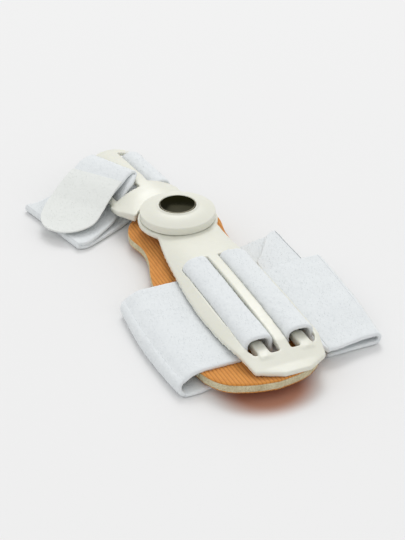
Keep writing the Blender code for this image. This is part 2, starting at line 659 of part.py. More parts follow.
def wide_strap_stations():
    """The wide strap from the hidden end of the near right pack to the end of the far one."""
    floor = HALF_STRAP
    over = STRAP_OVER_PAD
    pack_lift = 2 * PACK_FOLD_RADIUS + STRAP_THICKNESS + GAP
    near_top = floor + 2 * PACK_FOLD_RADIUS
    shift = PACK_SHIFT
    near_y = RIGHT_TOP_ROWS[0][2] * shift
    stations = []

    def add(x, z, y=0.0, lift=0.0, skew=0.0, bow=0.0):
        stations.append((x, y, z, lift, skew, 1.0, bow * FOLD_BOW))

    fold_x = RIGHT_REACH - PACK_FOLD_RADIUS - HALF_STRAP
    for share in HIDDEN_END_SHARES:
        add(share * RIGHT_REACH, floor, near_y, pack_lift, RIGHT_SKEW)
    for x, z in arc(fold_x, floor + PACK_FOLD_RADIUS, PACK_FOLD_RADIUS, -90, 90, PACK_FOLD_STEPS):
        add(x, z, near_y, pack_lift, RIGHT_SKEW)
    for across, height, along, lift, skew, bow in smooth_rows(RIGHT_TOP_ROWS, 3):
        add(across * RIGHT_REACH, near_top + height * (over - near_top), along * shift,
            lift * pack_lift, skew, bow)

    corner = over + STRAP_BEND
    for side in (1, -1):
        bar = side * BAR_X
        outside = WRAP_RADIUS + STRAP_BEND
        for x, z in arc(bar + outside, corner, STRAP_BEND, -90, -180, 4):
            add(x, z)
        for x, z in arc(bar, BAR_LEVEL, WRAP_RADIUS, 0, 180, 12):
            add(x, z)
        for x, z in arc(bar - outside, corner, STRAP_BEND, 0, -90, 4):
            add(x, z)

    fold_radius = LEFT_FOLD_RADIUS
    for across, height, along, lift, skew, bow in smooth_rows(LEFT_TOP_ROWS, 3):
        level = floor + 2 * fold_radius
        add(-across * LEFT_REACH, level + height * (over - level), along * shift, lift, skew, bow)
    stations.pop()
    fold_steps = LEFT_FOLD_STEPS
    for step, (x, z) in enumerate(arc(-LEFT_REACH, floor + fold_radius, fold_radius, 90, 270, fold_steps)):
        along = LEFT_TOP_ROWS[-1][2] + (BOTTOM_ROWS[0][2] - LEFT_TOP_ROWS[-1][2]) * step / fold_steps
        add(x, z, along * shift, 0.0, BOTTOM_ROWS[0][4], 1.0)
    for across, height, along, lift, skew, bow in smooth_rows(BOTTOM_ROWS, 3):
        reach = PACK_REACH if across > 0 else LEFT_REACH
        add(across * reach, floor, along * shift, lift, skew, bow)
    pack_x = PACK_REACH + PACK_FOLD_RADIUS / 2
    for x, z in arc(pack_x, floor + PACK_FOLD_RADIUS, PACK_FOLD_RADIUS, -90, 90, PACK_FOLD_STEPS):
        add(x, z, shift)
    for across, height, along, lift, skew, bow in smooth_rows(PACK_TOP_ROWS, 2):
        add(across * PACK_REACH, near_top, along * shift, lift, skew, bow)
    return stations


def make_wide_strap(material):
    loops = ribbon_loops(wide_strap_stations(), WIDE_STRAP_WIDTH, STRAP_THICKNESS, WIDE_STRAP_SPANS,
                         step_up)
    return loft("wide_strap", loops, material)


def toe_row(row, base=0.0, unit=ARM_CROWN, tilt=0.0):
    """A station of the toe strap from a row of its table."""
    across, height, along, skew = row
    return (across * TOE_STRAP_REACH, SLOT_MIDDLE + along * TOE_STRAP_WIDTH, base + height * unit,
            tilt, skew, 1.0, 0.0)


def toe_free_stations():
    """The toe strap from the top of its ridge to its free end."""
    ridge_base = ARM_CROWN + GAP + HALF_STRAP
    ridge = [toe_row(row, ridge_base, RIDGE_RISE, RIDGE_TILT) for row in TOE_RIDGE_ROWS]
    free = []
    for index, row in enumerate(TOE_FREE_ROWS):
        free.append(toe_row(row, tilt=RIDGE_TILT * (1 - index / len(TOE_FREE_ROWS))))
    return ridge, free


def toe_strap_stations():
    lower = [toe_row(row) for row in TOE_SEWN_ROWS]
    upper = [toe_row(row) for row in TOE_RETURN_ROWS]
    ridge, free = toe_free_stations()
    fold = []
    start = lower[-1]
    end = upper[0]
    radius = (end[2] - start[2]) / 2
    for step, (x, z) in enumerate(arc(-TOE_FOLD_REACH, start[2] + radius, radius, 270, 90, TOE_FOLD_STEPS)):
        share = step / TOE_FOLD_STEPS
        y = start[1] + (end[1] - start[1]) * share
        skew = start[4] + (end[4] - start[4]) * share
        fold.append((x, y, z, share * TOE_FOLD_TILT, skew, TOE_FOLD_WIDEN, 0.0))
    return smooth_rows(lower + fold + upper + ridge + free, 2)


def make_toe_strap(parent, material):
    loops = ribbon_loops(toe_strap_stations(), TOE_STRAP_WIDTH, STRAP_THICKNESS, TOE_STRAP_SPANS,
                         even_tilt)
    return loft("toe_strap", loops, material, parent)


def make_toe_tab(parent, material):
    """The tab lies on the strap's free end and reaches past it to a round end."""
    _, free = toe_free_stations()
    rest = [toe_row(row) for row in TAB_ROWS]
    raised = HALF_STRAP + TAB_CLEARANCE + TAB_THICKNESS / 2
    stations = []
    for x, y, z, lift, skew, _, _ in smooth_rows(free + rest, 4):
        radius = TAB_WIDTH / 2
        to_end = TAB_REACH + x
        inward = max(radius - to_end, 0.0)
        share = max(sqrt(max(1.0 - (inward / radius) ** 2, 0.0)), TAB_BLUNT_SHARE)
        stations.append((x, y, z + raised, lift, skew, share, 0.0))
    loops = ribbon_loops(stations, TAB_WIDTH, TAB_THICKNESS, TOE_STRAP_SPANS, even_tilt)
    return loft("toe_tab", loops, material, parent)


def main():
    clear_scene()
    plastic = finish("cream_plastic", (0.80, 0.80, 0.73), 0.32)
    mirror = finish("dark_mirror", (0.02, 0.02, 0.02), 0.06, 1.0)
    cloth = finish("tan_ribbed_cloth", (0.62, 0.25, 0.06), 0.9)
    foam = finish("cream_foam", (0.62, 0.58, 0.36), 0.95)
    plush = finish("white_plush", (0.78, 0.81, 0.84), 0.95)
    hook_tape = finish("hook_tape", (0.79, 0.82, 0.80), 0.75)

    fixed = frame_empty("hinge_axis", 0.0)
    swinging = frame_empty("toe_arm_axis", ARM_REST_DEGREES)

    make_main_plate(fixed, plastic)
    make_disc(fixed, plastic, mirror)
    make_pad(fixed, cloth, foam)
    make_wide_strap(plush)
    make_toe_arm(swinging, plastic)
    make_toe_strap(swinging, plush)
    make_toe_tab(swinging, hook_tape)


main()
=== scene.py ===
# %% [markdown]
# # A bunion splint with two plush straps
#
# This lesson dresses a imported CAD model of a bunion splint: a moulded plate with two windows, a toe
# arm on a covered hinge, a cloth-faced foam pad and two plush straps. The CAD model stays as it is,
# and each piece here is made in the same place, in the same frame: +Y runs from the heel end towards
# the toe, +X to the right and +Z up, with the origin on the wide strap's resting face.

# %% The imported model
import bpy
import bmesh
from math import copysign, cos, floor, pi, radians, sin, sqrt
from mathutils import Matrix, Vector, noise


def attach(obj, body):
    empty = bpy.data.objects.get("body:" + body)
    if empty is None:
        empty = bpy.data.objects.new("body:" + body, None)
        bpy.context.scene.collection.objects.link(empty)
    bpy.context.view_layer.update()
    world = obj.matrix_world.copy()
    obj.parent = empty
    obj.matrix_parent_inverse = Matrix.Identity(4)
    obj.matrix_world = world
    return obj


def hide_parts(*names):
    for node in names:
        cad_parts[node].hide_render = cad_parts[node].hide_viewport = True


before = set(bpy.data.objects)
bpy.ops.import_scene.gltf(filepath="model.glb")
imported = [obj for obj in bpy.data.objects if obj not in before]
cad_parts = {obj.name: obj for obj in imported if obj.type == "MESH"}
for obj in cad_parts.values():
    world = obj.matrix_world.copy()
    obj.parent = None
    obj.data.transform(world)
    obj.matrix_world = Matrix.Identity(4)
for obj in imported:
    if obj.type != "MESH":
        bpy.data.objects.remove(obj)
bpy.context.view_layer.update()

# %% [markdown]
# ## Camera
#
# The photograph looks down on the splint from its heel end at about 32 degrees, from half a metre
# away. A camera is easiest to place by three directions that stand square on each other: where it
# looks, what is right and what is up. A matrix with those as its columns turns it without any guess
# about the order of angles.

# %% Camera
MM = 0.001
CAMERA_PLACE = Vector((-165.2, -339.5, 265.8))
CAMERA_LOOK = Vector((0.336, 0.774, -0.537))


def make_camera():
    data = bpy.data.cameras.new("camera")
    data.lens = 80.0
    data.sensor_width = 36.0
    data.clip_start = 0.01
    camera = bpy.data.objects.new("camera", data)
    look = CAMERA_LOOK.normalized()
    right = look.cross(Vector((0.0, 0.0, 1.0))).normalized()
    up = right.cross(look)
    turn = Matrix((right, up, -look)).transposed()
    camera.matrix_world = Matrix.Translation(CAMERA_PLACE * MM) @ turn.to_4x4()
    bpy.context.scene.collection.objects.link(camera)
    bpy.context.scene.camera = camera
    return camera


camera = make_camera()
print("camera at", [round(value, 4) for value in camera.location])

# %% [markdown]
# ## Light and floor
#
# A studio shot on white paper has one very large soft light above and behind, and white all round. A
# pale world gives the fill and a wide sun gives soft shadows that are the same wherever the object
# stands. The floor is one large sheet whose colour is set so that it meets the background.
#
# The pad's warm cloth throws some of its colour on the paper beneath its heel. Light that bounces off
# the cloth gives part of that. The rest is painted shade: a soft, darker, warm oval patch painted into
# the floor's colour, a painted shadow with painted warm bounce light. The distance from the patch's
# middle, counted in its reach, fades the painted shade out to the paper's own.

# %% Light and floor
FLOOR_COLOR = (0.82, 0.82, 0.82, 1.0)
# Painted shade: colour, middle and reach of the painted shadow and warm bounce light under the pad's heel.
PAINTED_SHADE_COLOR = (0.50, 0.25, 0.17, 1.0)
PAINTED_SHADE_CENTER = (-9.0, -39.0)
PAINTED_SHADE_REACH = (22.0, 17.0)
PAINTED_SHADE_CORE = 0.45


def make_world():
    world = bpy.data.worlds.new("white_room")
    world.use_nodes = True
    background = world.node_tree.nodes["Background"]
    background.inputs["Color"].default_value = (1.0, 1.0, 1.0, 1.0)
    background.inputs["Strength"].default_value = 0.835
    bpy.context.scene.world = world


def make_sun(name, toward, strength, angle):
    data = bpy.data.lights.new(name, "SUN")
    data.energy = strength
    data.angle = radians(angle)
    sun = bpy.data.objects.new(name, data)
    sun.rotation_euler = Vector(toward).to_track_quat("-Z", "Y").to_euler()
    bpy.context.scene.collection.objects.link(sun)


def make_softbox(name, direction, distance, size, power):
    """A square light that faces the splint; glossy plastic shows it as a soft bright patch."""
    data = bpy.data.lights.new(name, "AREA")
    data.size = size
    data.energy = power
    box = bpy.data.objects.new(name, data)
    toward = Vector(direction).normalized()
    box.location = toward * distance
    box.rotation_euler = (-toward).to_track_quat("-Z", "Y").to_euler()
    bpy.context.scene.collection.objects.link(box)


def make_floor():
    bm = bmesh.new()
    bmesh.ops.create_grid(bm, x_segments=1, y_segments=1, size=4.0)
    mesh = bpy.data.meshes.new("floor")
    bm.to_mesh(mesh)
    bm.free()
    sheet = bpy.data.objects.new("floor", mesh)
    paper = bpy.data.materials.new("floor_paper")
    paper.use_nodes = True
    shader = paper.node_tree.nodes["Principled BSDF"]
    shader.inputs["Base Color"].default_value = FLOOR_COLOR
    shader.inputs["Roughness"].default_value = 1.0
    shader.inputs["Specular IOR Level"].default_value = 0.0
    # Painted shadow and warm bounce light: near the pad's heel the floor's colour is mixed towards the
    # painted shade colour.
    nodes, links = paper.node_tree.nodes, paper.node_tree.links
    place = nodes.new("ShaderNodeTexCoord")
    center = nodes.new("ShaderNodeVectorMath")
    center.operation = "SUBTRACT"
    center.inputs[1].default_value = (PAINTED_SHADE_CENTER[0] * MM, PAINTED_SHADE_CENTER[1] * MM, 0.0)
    links.new(place.outputs["Object"], center.inputs[0])
    spread = nodes.new("ShaderNodeVectorMath")
    spread.operation = "DIVIDE"
    spread.inputs[1].default_value = (PAINTED_SHADE_REACH[0] * MM, PAINTED_SHADE_REACH[1] * MM, 1.0)
    links.new(center.outputs["Vector"], spread.inputs[0])
    away = nodes.new("ShaderNodeVectorMath")
    away.operation = "LENGTH"
    links.new(spread.outputs["Vector"], away.inputs[0])
    fade = nodes.new("ShaderNodeMapRange")
    fade.interpolation_type = "SMOOTHSTEP"
    fade.inputs["From Min"].default_value = PAINTED_SHADE_CORE
    fade.inputs["From Max"].default_value = 1.0
    fade.inputs["To Min"].default_value = 1.0
    fade.inputs["To Max"].default_value = 0.0
    links.new(away.outputs["Value"], fade.inputs["Value"])
    painted_shade = nodes.new("ShaderNodeMix")
    painted_shade.data_type = "RGBA"
    painted_shade.inputs["A"].default_value = FLOOR_COLOR
    painted_shade.inputs["B"].default_value = PAINTED_SHADE_COLOR
    links.new(fade.outputs["Result"], painted_shade.inputs["Factor"])
    links.new(painted_shade.outputs["Result"], shader.inputs["Base Color"])
    mesh.materials.append(paper)
    bpy.context.scene.collection.objects.link(sheet)


make_world()
make_sun("key_light", (-0.22, -0.62, -0.80), 0.64, 22.0)
make_softbox("window_light", (0.40, 0.72, 0.72), 2.4, 0.8, 6.0)
make_floor()
bpy.context.scene.view_settings.view_transform = "Standard"
print("stage ready")

# %% [markdown]
# ## Helpers for lofted shapes
#
# Nearly everything on the splint is a section carried along a line: the moulded shells along their
# length, the straps along their route, the disc round its axis. The shapes are drawn from short
# tables, and a Catmull-Rom curve fills in the rows between. More rows give a finer mesh than the CAD
# solid's, from the same table.

# %% Helpers
HINGE_FROM_STRAP = 67.3
ARM_REST_DEGREES = 5.0


def smooth_rows(rows, steps, straight_ends=0):
    """Rows between a table's rows, on a Catmull-Rom curve; the last intervals can stay straight."""
    result = []
    last = len(rows) - 1
    for index in range(last):
        before = rows[max(index - 1, 0)]
        start = rows[index]
        end = rows[index + 1]
        after = rows[min(index + 2, last)]
        straight = index >= last - straight_ends
        for step in range(steps):
            t = step / steps
            row = []
            for a, b, c, d in zip(before, start, end, after):
                bend = (c - a) * t + (2 * a - 5 * b + 4 * c - d) * t**2 + (3 * b - a - 3 * c + d) * t**3
                row.append(b + (c - b) * t if straight else b + 0.5 * bend)
            result.append(tuple(row))
    result.append(tuple(rows[last]))
    return result


def arc(center_x, center_z, radius, start, end, steps):
    """Points on an arc, both ends included; angles in degrees from the first axis."""
    points = []
    for step in range(steps + 1):
        angle = radians(start + (end - start) * step / steps)
        points.append((center_x + radius * cos(angle), center_z + radius * sin(angle)))
    return points


def object_from(name, bm):
    """Puts a finished bmesh in the scene as an object of its own."""
    mesh = bpy.data.meshes.new(name)
    bm.to_mesh(mesh)
    bm.free()
    item = bpy.data.objects.new(name, mesh)
    bpy.context.scene.collection.objects.link(item)
    return item


def loft(name, loops):
    """A closed solid through loops of points, capped at both ends."""
    bm = bmesh.new()
    rings = [[bm.verts.new(point) for point in loop] for loop in loops]
    count = len(rings[0])
    for ring, following in zip(rings, rings[1:]):
        for index in range(count):
            across = (index + 1) % count
            bm.faces.new((ring[index], ring[across], following[across], following[index]))
    bm.faces.new(rings[0])
    bm.faces.new(list(reversed(rings[-1])))
    bmesh.ops.triangulate(bm, faces=[face for face in bm.faces if len(face.verts) > 4])
    bmesh.ops.recalc_face_normals(bm, faces=bm.faces)
    return object_from(name, bm)


def prism(name, outline, bottom, top):
    bm = bmesh.new()
    base = bm.faces.new([bm.verts.new((x, y, bottom)) for x, y in outline])
    grown = bmesh.ops.extrude_face_region(bm, geom=[base])
    moved = [item for item in grown["geom"] if isinstance(item, bmesh.types.BMVert)]
    bmesh.ops.translate(bm, verts=moved, vec=(0.0, 0.0, top - bottom))
    bmesh.ops.recalc_face_normals(bm, faces=bm.faces)
    return object_from(name, bm)


def turned(name, profile, segments):
    """A solid turned about Z from an outline of (radius, height) that starts and ends on the axis."""
    bm = bmesh.new()
    verts = [bm.verts.new((radius, 0.0, height)) for radius, height in profile]
    edges = [bm.edges.new(pair) for pair in zip(verts, verts[1:])]
    bmesh.ops.spin(bm, geom=verts + edges, cent=(0, 0, 0), axis=(0, 0, 1), angle=2 * pi,
                   steps=segments, use_merge=True)
    bmesh.ops.remove_doubles(bm, verts=bm.verts, dist=1e-4)
    bmesh.ops.recalc_face_normals(bm, faces=bm.faces)
    return object_from(name, bm)


def lengthwise_bar(name, x, y_start, y_end, level, radius):
    bm = bmesh.new()
    bmesh.ops.create_cone(bm, cap_ends=True, segments=48, radius1=radius, radius2=radius,
                          depth=y_end - y_start)
    for vert in bm.verts:
        along = vert.co.z + (y_start + y_end) / 2
        vert.co = Vector((x + vert.co.x, along, level + vert.co.y))
    bmesh.ops.recalc_face_normals(bm, faces=bm.faces)
    return object_from(name, bm)


def combine(target, operand, operation):
    """Joins an operand to a target, or cuts it out, and removes the operand."""
    modifier = target.modifiers.new("combine", "BOOLEAN")
    modifier.operation = operation
    modifier.solver = "EXACT"
    modifier.object = operand
    bake(target)
    bpy.data.objects.remove(operand, do_unlink=True)


def bake(item):
    """Turns an object with modifiers into a plain mesh."""
    depsgraph = bpy.context.evaluated_depsgraph_get()
    mesh = bpy.data.meshes.new_from_object(item.evaluated_get(depsgraph))
    item.modifiers.clear()
    old = item.data
    item.data = mesh
    bpy.data.meshes.remove(old)


def soften(item, voxel, rounds):
    """Rounds every edge as a mould does: the solid is rebuilt in small even faces, then relaxed."""
    remesh = item.modifiers.new("even_faces", "REMESH")
    remesh.mode = "VOXEL"
    remesh.voxel_size = voxel
    relax = item.modifiers.new("round_edges", "SMOOTH")
    relax.factor = 0.5
    relax.iterations = rounds
    bake(item)


def settle(item, name, material, degrees=0.0, hinge=True):
    """Gives a finished piece its name, finish and place: millimetres become metres in the mesh."""
    shift = Matrix.Translation((0.0, HINGE_FROM_STRAP if hinge else 0.0, 0.0))
    place = Matrix.Scale(MM, 4) @ shift @ Matrix.Rotation(radians(degrees), 4, "Z")
    item.data.transform(place)
    item.name = name
    item.data.name = name
    item.data.materials.clear()
    item.data.materials.append(material)
    item.data.shade_smooth()


print("helpers ready")

# %% [markdown]
# ## Shader groups shared by the finishes
#
# Two effects come back in several finishes. Mottling is a slow drift of tone over a surface, as in
# dyed cloth or plastic that has been handled. Fuzz is the fine height of a pile or of a moulded
# grain. Each is a node group with named inputs, so every finish places it with its own values.

# %% Shader groups
def new_group(name, inputs, outputs):
    group = bpy.data.node_groups.new(name, "ShaderNodeTree")
    for label, kind, value in inputs:
        socket = group.interface.new_socket(name=label, in_out="INPUT", socket_type=kind)
        if value is not None:
            socket.default_value = value
    for label, kind in outputs:
        group.interface.new_socket(name=label, in_out="OUTPUT", socket_type=kind)
    return group, group.nodes.new("NodeGroupInput"), group.nodes.new("NodeGroupOutput")


def make_mottling_group():
    """Mixes a colour towards a second one by slow noise and a little fine noise."""
    group, source, result = new_group("mottling", [
        ("Vector", "NodeSocketVector", None), ("Color", "NodeSocketColor", (0.8, 0.8, 0.8, 1.0)),
        ("Second Color", "NodeSocketColor", (0.7, 0.7, 0.7, 1.0)), ("Scale", "NodeSocketFloat", 60.0),
        ("Fine Scale", "NodeSocketFloat", 900.0), ("Amount", "NodeSocketFloat", 0.5)],
        [("Color", "NodeSocketColor"), ("Mask", "NodeSocketFloat")])
    nodes, links = group.nodes, group.links
    slow = nodes.new("ShaderNodeTexNoise")
    slow.inputs["Detail"].default_value = 3.0
    fine = nodes.new("ShaderNodeTexNoise")
    fine.inputs["Detail"].default_value = 2.0
    links.new(source.outputs["Vector"], slow.inputs["Vector"])
    links.new(source.outputs["Vector"], fine.inputs["Vector"])
    links.new(source.outputs["Scale"], slow.inputs["Scale"])
    links.new(source.outputs["Fine Scale"], fine.inputs["Scale"])
    average = nodes.new("ShaderNodeMath")
    average.operation = "MULTIPLY_ADD"
    average.inputs[1].default_value = 0.45
    links.new(fine.outputs["Fac"], average.inputs[0])
    slow_part = nodes.new("ShaderNodeMath")
    slow_part.operation = "MULTIPLY"
    slow_part.inputs[1].default_value = 0.55
    links.new(slow.outputs["Fac"], slow_part.inputs[0])
    links.new(slow_part.outputs[0], average.inputs[2])
    spread = nodes.new("ShaderNodeMapRange")
    spread.inputs["From Min"].default_value = 0.35
    spread.inputs["From Max"].default_value = 0.65
    links.new(average.outputs[0], spread.inputs["Value"])
    weigh = nodes.new("ShaderNodeMath")
    weigh.operation = "MULTIPLY"
    links.new(spread.outputs["Result"], weigh.inputs[0])
    links.new(source.outputs["Amount"], weigh.inputs[1])
    mix = nodes.new("ShaderNodeMix")
    mix.data_type = "RGBA"
    links.new(weigh.outputs[0], mix.inputs[0])
    links.new(source.outputs["Color"], mix.inputs[6])
    links.new(source.outputs["Second Color"], mix.inputs[7])
    links.new(mix.outputs[2], result.inputs["Color"])
    links.new(weigh.outputs[0], result.inputs["Mask"])
    return group


def make_fuzz_group():
    """Fine height from two sizes of noise, for a pile or a moulded grain."""
    group, source, result = new_group("fuzz", [
        ("Vector", "NodeSocketVector", None), ("Scale", "NodeSocketFloat", 1200.0),
        ("Coarse Scale", "NodeSocketFloat", 300.0), ("Coarse Share", "NodeSocketFloat", 0.4)],
        [("Height", "NodeSocketFloat")])
    nodes, links = group.nodes, group.links
    small = nodes.new("ShaderNodeTexNoise")
    small.inputs["Detail"].default_value = 2.0
    large = nodes.new("ShaderNodeTexNoise")
    large.inputs["Detail"].default_value = 2.0
    for node, label in ((small, "Scale"), (large, "Coarse Scale")):
        links.new(source.outputs["Vector"], node.inputs["Vector"])
        links.new(source.outputs[label], node.inputs["Scale"])
    mix = nodes.new("ShaderNodeMix")
    mix.data_type = "FLOAT"
    links.new(source.outputs["Coarse Share"], mix.inputs[0])
    links.new(small.outputs["Fac"], mix.inputs[2])
    links.new(large.outputs["Fac"], mix.inputs[3])
    links.new(mix.outputs[0], result.inputs["Height"])
    return group


mottling = make_mottling_group()
fuzz = make_fuzz_group()
print("groups:", mottling.name, fuzz.name)

# %% [markdown]
# ## Finishes
#
# A finish starts from a Principled shader and gets its colour from the mottling group and its bump
# from the fuzz group. What is the same all over, such as sheen, is set on the shader's own socket.

# %% Finishes
def start_finish(name, roughness, sheen, specular):
    material = bpy.data.materials.new(name)
    material.use_nodes = True
    shader = material.node_tree.nodes["Principled BSDF"]
    shader.inputs["Roughness"].default_value = roughness
    shader.inputs["Sheen Weight"].default_value = sheen
    shader.inputs["Sheen Roughness"].default_value = 0.6
    shader.inputs["Specular IOR Level"].default_value = specular
    return material, shader


def add_coordinates(material):
    return material.node_tree.nodes.new("ShaderNodeTexCoord").outputs["Object"]


def add_group(material, group, vector, values):
    node = material.node_tree.nodes.new("ShaderNodeGroup")
    node.node_tree = group
    material.node_tree.links.new(vector, node.inputs["Vector"])
    for label, value in values.items():
        node.inputs[label].default_value = value
    return node


def add_bump(material, shader, height, strength, distance):
    bump = material.node_tree.nodes.new("ShaderNodeBump")
    bump.inputs["Strength"].default_value = strength
    bump.inputs["Distance"].default_value = distance
    material.node_tree.links.new(height, bump.inputs["Height"])
    material.node_tree.links.new(bump.outputs["Normal"], shader.inputs["Normal"])


def make_plastic(name, color, second, roughness):
    """Moulded plastic: a soft gloss, a very fine grain and a few handling marks in its roughness."""
    material, shader = start_finish(name, roughness, 0.0, 0.5)
    links = material.node_tree.links
    place = add_coordinates(material)
    tone = add_group(material, mottling, place, {
        "Color": color, "Second Color": second, "Scale": 45.0, "Fine Scale": 420.0, "Amount": 0.6})
    links.new(tone.outputs["Color"], shader.inputs["Base Color"])
    gloss = material.node_tree.nodes.new("ShaderNodeMapRange")
    gloss.inputs["To Min"].default_value = roughness - 0.05
    gloss.inputs["To Max"].default_value = roughness + 0.10
    links.new(tone.outputs["Mask"], gloss.inputs["Value"])
    links.new(gloss.outputs["Result"], shader.inputs["Roughness"])
    grain = add_group(material, fuzz, place, {"Scale": 2600.0, "Coarse Scale": 500.0, "Coarse Share": 0.5})
    add_bump(material, shader, grain.outputs["Height"], 0.12, 0.00004)
    shader.inputs["Subsurface Weight"].default_value = 0.08
    shader.inputs["Subsurface Radius"].default_value = (0.003, 0.0025, 0.0015)
    shader.inputs["Subsurface Scale"].default_value = 0.6
    return material


def make_plush(name, color, second, bump, fine_scale):
    """Brushed loop pile: rough, with a sheen at grazing angles and a fine uneven height."""
    material, shader = start_finish(name, 0.95, 0.25, 0.15)
    links = material.node_tree.links
    place = add_coordinates(material)
    tone = add_group(material, mottling, place, {
        "Color": color, "Second Color": second, "Scale": 140.0, "Fine Scale": 1100.0, "Amount": 0.6})
    links.new(tone.outputs["Color"], shader.inputs["Base Color"])
    pile = add_group(material, fuzz, place, {
        "Scale": fine_scale, "Coarse Scale": fine_scale * 0.4, "Coarse Share": 0.45})
    add_bump(material, shader, pile.outputs["Height"], bump, 0.0004)
    return material


cream_plastic = make_plastic("cream_plastic", (0.75, 0.75, 0.665, 1.0), (0.71, 0.71, 0.62, 1.0), 0.36)
white_plush = make_plush("white_plush", (0.77, 0.80, 0.812, 1.0), (0.71, 0.74, 0.755, 1.0), 0.7, 1500.0)
print("finishes:", cream_plastic.name, white_plush.name)

# %% [markdown]
# ## Hinge levels and the plate's sizes
#
# The plate, the arm and the hinge share their levels: ring of the arm, flange of the plate, disc and
# cap lie on top of each other. These are the CAD source's own values, in millimetres, apart from the
# flange's visible edge, which lies a little further in.

# %% Sizes
GAP = 0.3
STRAP_THICKNESS = 2.0
HALF_STRAP = STRAP_THICKNESS / 2
COVER_THICKNESS = 0.5
FOAM_THICKNESS = 2.4
PAD_BOTTOM = STRAP_THICKNESS + GAP
FOAM_BOTTOM = PAD_BOTTOM + COVER_THICKNESS + GAP
TOP_COVER_BOTTOM = FOAM_BOTTOM + FOAM_THICKNESS + GAP
PAD_TOP = TOP_COVER_BOTTOM + COVER_THICKNESS
STRAP_OVER_PAD = PAD_TOP + GAP + HALF_STRAP

PLATE_LENGTH = 111.5
PLATE_THICKNESS = 1.8
PLATE_ARCH = 4.4
PLATE_ARCH_POWER = 3.5
PLATE_END_FALL = 5.2
FRAME_WIDTH = 4.8
RIB_HALF_WIDTH = 2.2
RIB_DEPTH = 4.4
WINDOW_FROM_HINGE = 36.0
WINDOW_LENGTH = 65.0
WINDOW_SLANT = 2.4
WINDOW_CORNER = 2.3
BAR_RADIUS = 2.3
BAR_LIFT = 2.5
BAR_SEAT = 1.5
STRAP_SIDE_GAP = 1.4
PLATE_EDGE_BOTTOM = STRAP_OVER_PAD + HALF_STRAP + GAP
PLATE_CROWN = PLATE_EDGE_BOTTOM + PLATE_THICKNESS + PLATE_ARCH
BAR_LEVEL = STRAP_OVER_PAD + BAR_LIFT
WRAP_RADIUS = BAR_RADIUS + GAP + HALF_STRAP
BAR_X = RIB_HALF_WIDTH + STRAP_SIDE_GAP + HALF_STRAP + WRAP_RADIUS
WINDOW_OUTER = BAR_X + WRAP_RADIUS + HALF_STRAP + STRAP_SIDE_GAP
PLATE_HALF_WIDTH = WINDOW_OUTER + FRAME_WIDTH

PIN_RADIUS = 5.5
ARM_RING_RADIUS = 14.5
ARM_RING_BOTTOM = PAD_TOP + 2.6
ARM_RING_TOP = ARM_RING_BOTTOM + 1.7
FLANGE_BOTTOM = ARM_RING_TOP + GAP
FLANGE_TOP = FLANGE_BOTTOM + 2.0
DISC_RADIUS = 16.0
FLANGE_RADIUS = DISC_RADIUS + 1.3
FLANGE_EDGE = DISC_RADIUS + 0.9
DISC_BOTTOM = FLANGE_TOP + GAP
DISC_RIM_TOP = DISC_BOTTOM + 3.5
DISC_TOP = DISC_RIM_TOP + 2.3
print("flange top", FLANGE_TOP, "disc top", DISC_TOP, "window outer", WINDOW_OUTER)

# %% [markdown]
# ## Main plate
#
# The plate is one injection moulding. Its edges are all slightly round, because sharp ones would
# crack the mould and hurt the foot. One way to get that is a bevel on each edge, but a bevel breaks
# where Boolean cuts leave slivers. Here the solid is cut and joined sharp, rebuilt in small even
# faces by the Remesh modifier, and relaxed a little, which rounds every edge at once.

# %% Main plate
TONGUE_HALF_WIDTH = 2.3
TONGUE_BOTTOM = 8.9
TONGUE_OVERLAP = 2.0

# Columns: along, top
TONGUE_ROWS = ((0.0, 12.0), (3.0, 12.5), (10.0, 12.6))

# Columns: along, left, right, rise, fall, droop
PLATE_ROWS = (
    (0.000, 0.62, 0.62, -0.03, 0.00, 0.00),
    (0.080, 0.69, 0.69, -0.03, 0.00, 0.00),
    (0.115, 0.72, 0.71, 0.02, 0.00, 0.12),
    (0.160, 0.76, 0.74, 0.18, 0.00, 0.44),
    (0.240, 0.83, 0.79, 0.55, 0.00, 0.76),
    (0.360, 0.91, 0.85, 0.90, 0.00, 0.92),
    (0.490, 0.98, 0.88, 1.00, 0.00, 1.00),
    (0.630, 1.00, 0.89, 0.97, 0.02, 0.96),
    (0.760, 0.96, 0.87, 0.95, 0.12, 0.80),
    (0.870, 0.89, 0.82, 0.95, 0.30, 0.36),
    (0.960, 0.79, 0.69, 0.92, 0.82, 0.12),
    (1.000, 0.27, 0.27, 0.92, 0.93, 0.01),
)


def arched_loop(y, left, right, crown, droop, power, thickness, spans=40):
    top = []
    for index in range(spans + 1):
        share = 2 * index / spans - 1
        reach = right if share > 0 else left
        top.append(Vector((reach * share, y, crown - droop * abs(share) ** power)))
    bottom = [point - Vector((0.0, 0.0, thickness)) for point in reversed(top)]
    return top + bottom


def plate_level(row):
    rise = FLANGE_TOP + row[3] * (PLATE_CROWN - FLANGE_TOP)
    return rise - row[4] * PLATE_END_FALL


def window_outline(side):
    toe = -WINDOW_FROM_HINGE
    heel = -(WINDOW_FROM_HINGE + WINDOW_LENGTH)
    corner = WINDOW_CORNER
    points = (
        (RIB_HALF_WIDTH, toe),
        (BAR_X - BAR_RADIUS, toe - 0.15 * WINDOW_SLANT),
        (WINDOW_OUTER, toe - WINDOW_SLANT),
        (WINDOW_OUTER, (toe + heel) / 2),
        (WINDOW_OUTER - 0.35 * corner, heel + 1.6 * corner),
        (WINDOW_OUTER - corner, heel + 0.35 * corner),
        (BAR_X, heel),
        (RIB_HALF_WIDTH, heel),
    )
    return [(side * x, y) for x, y in points]


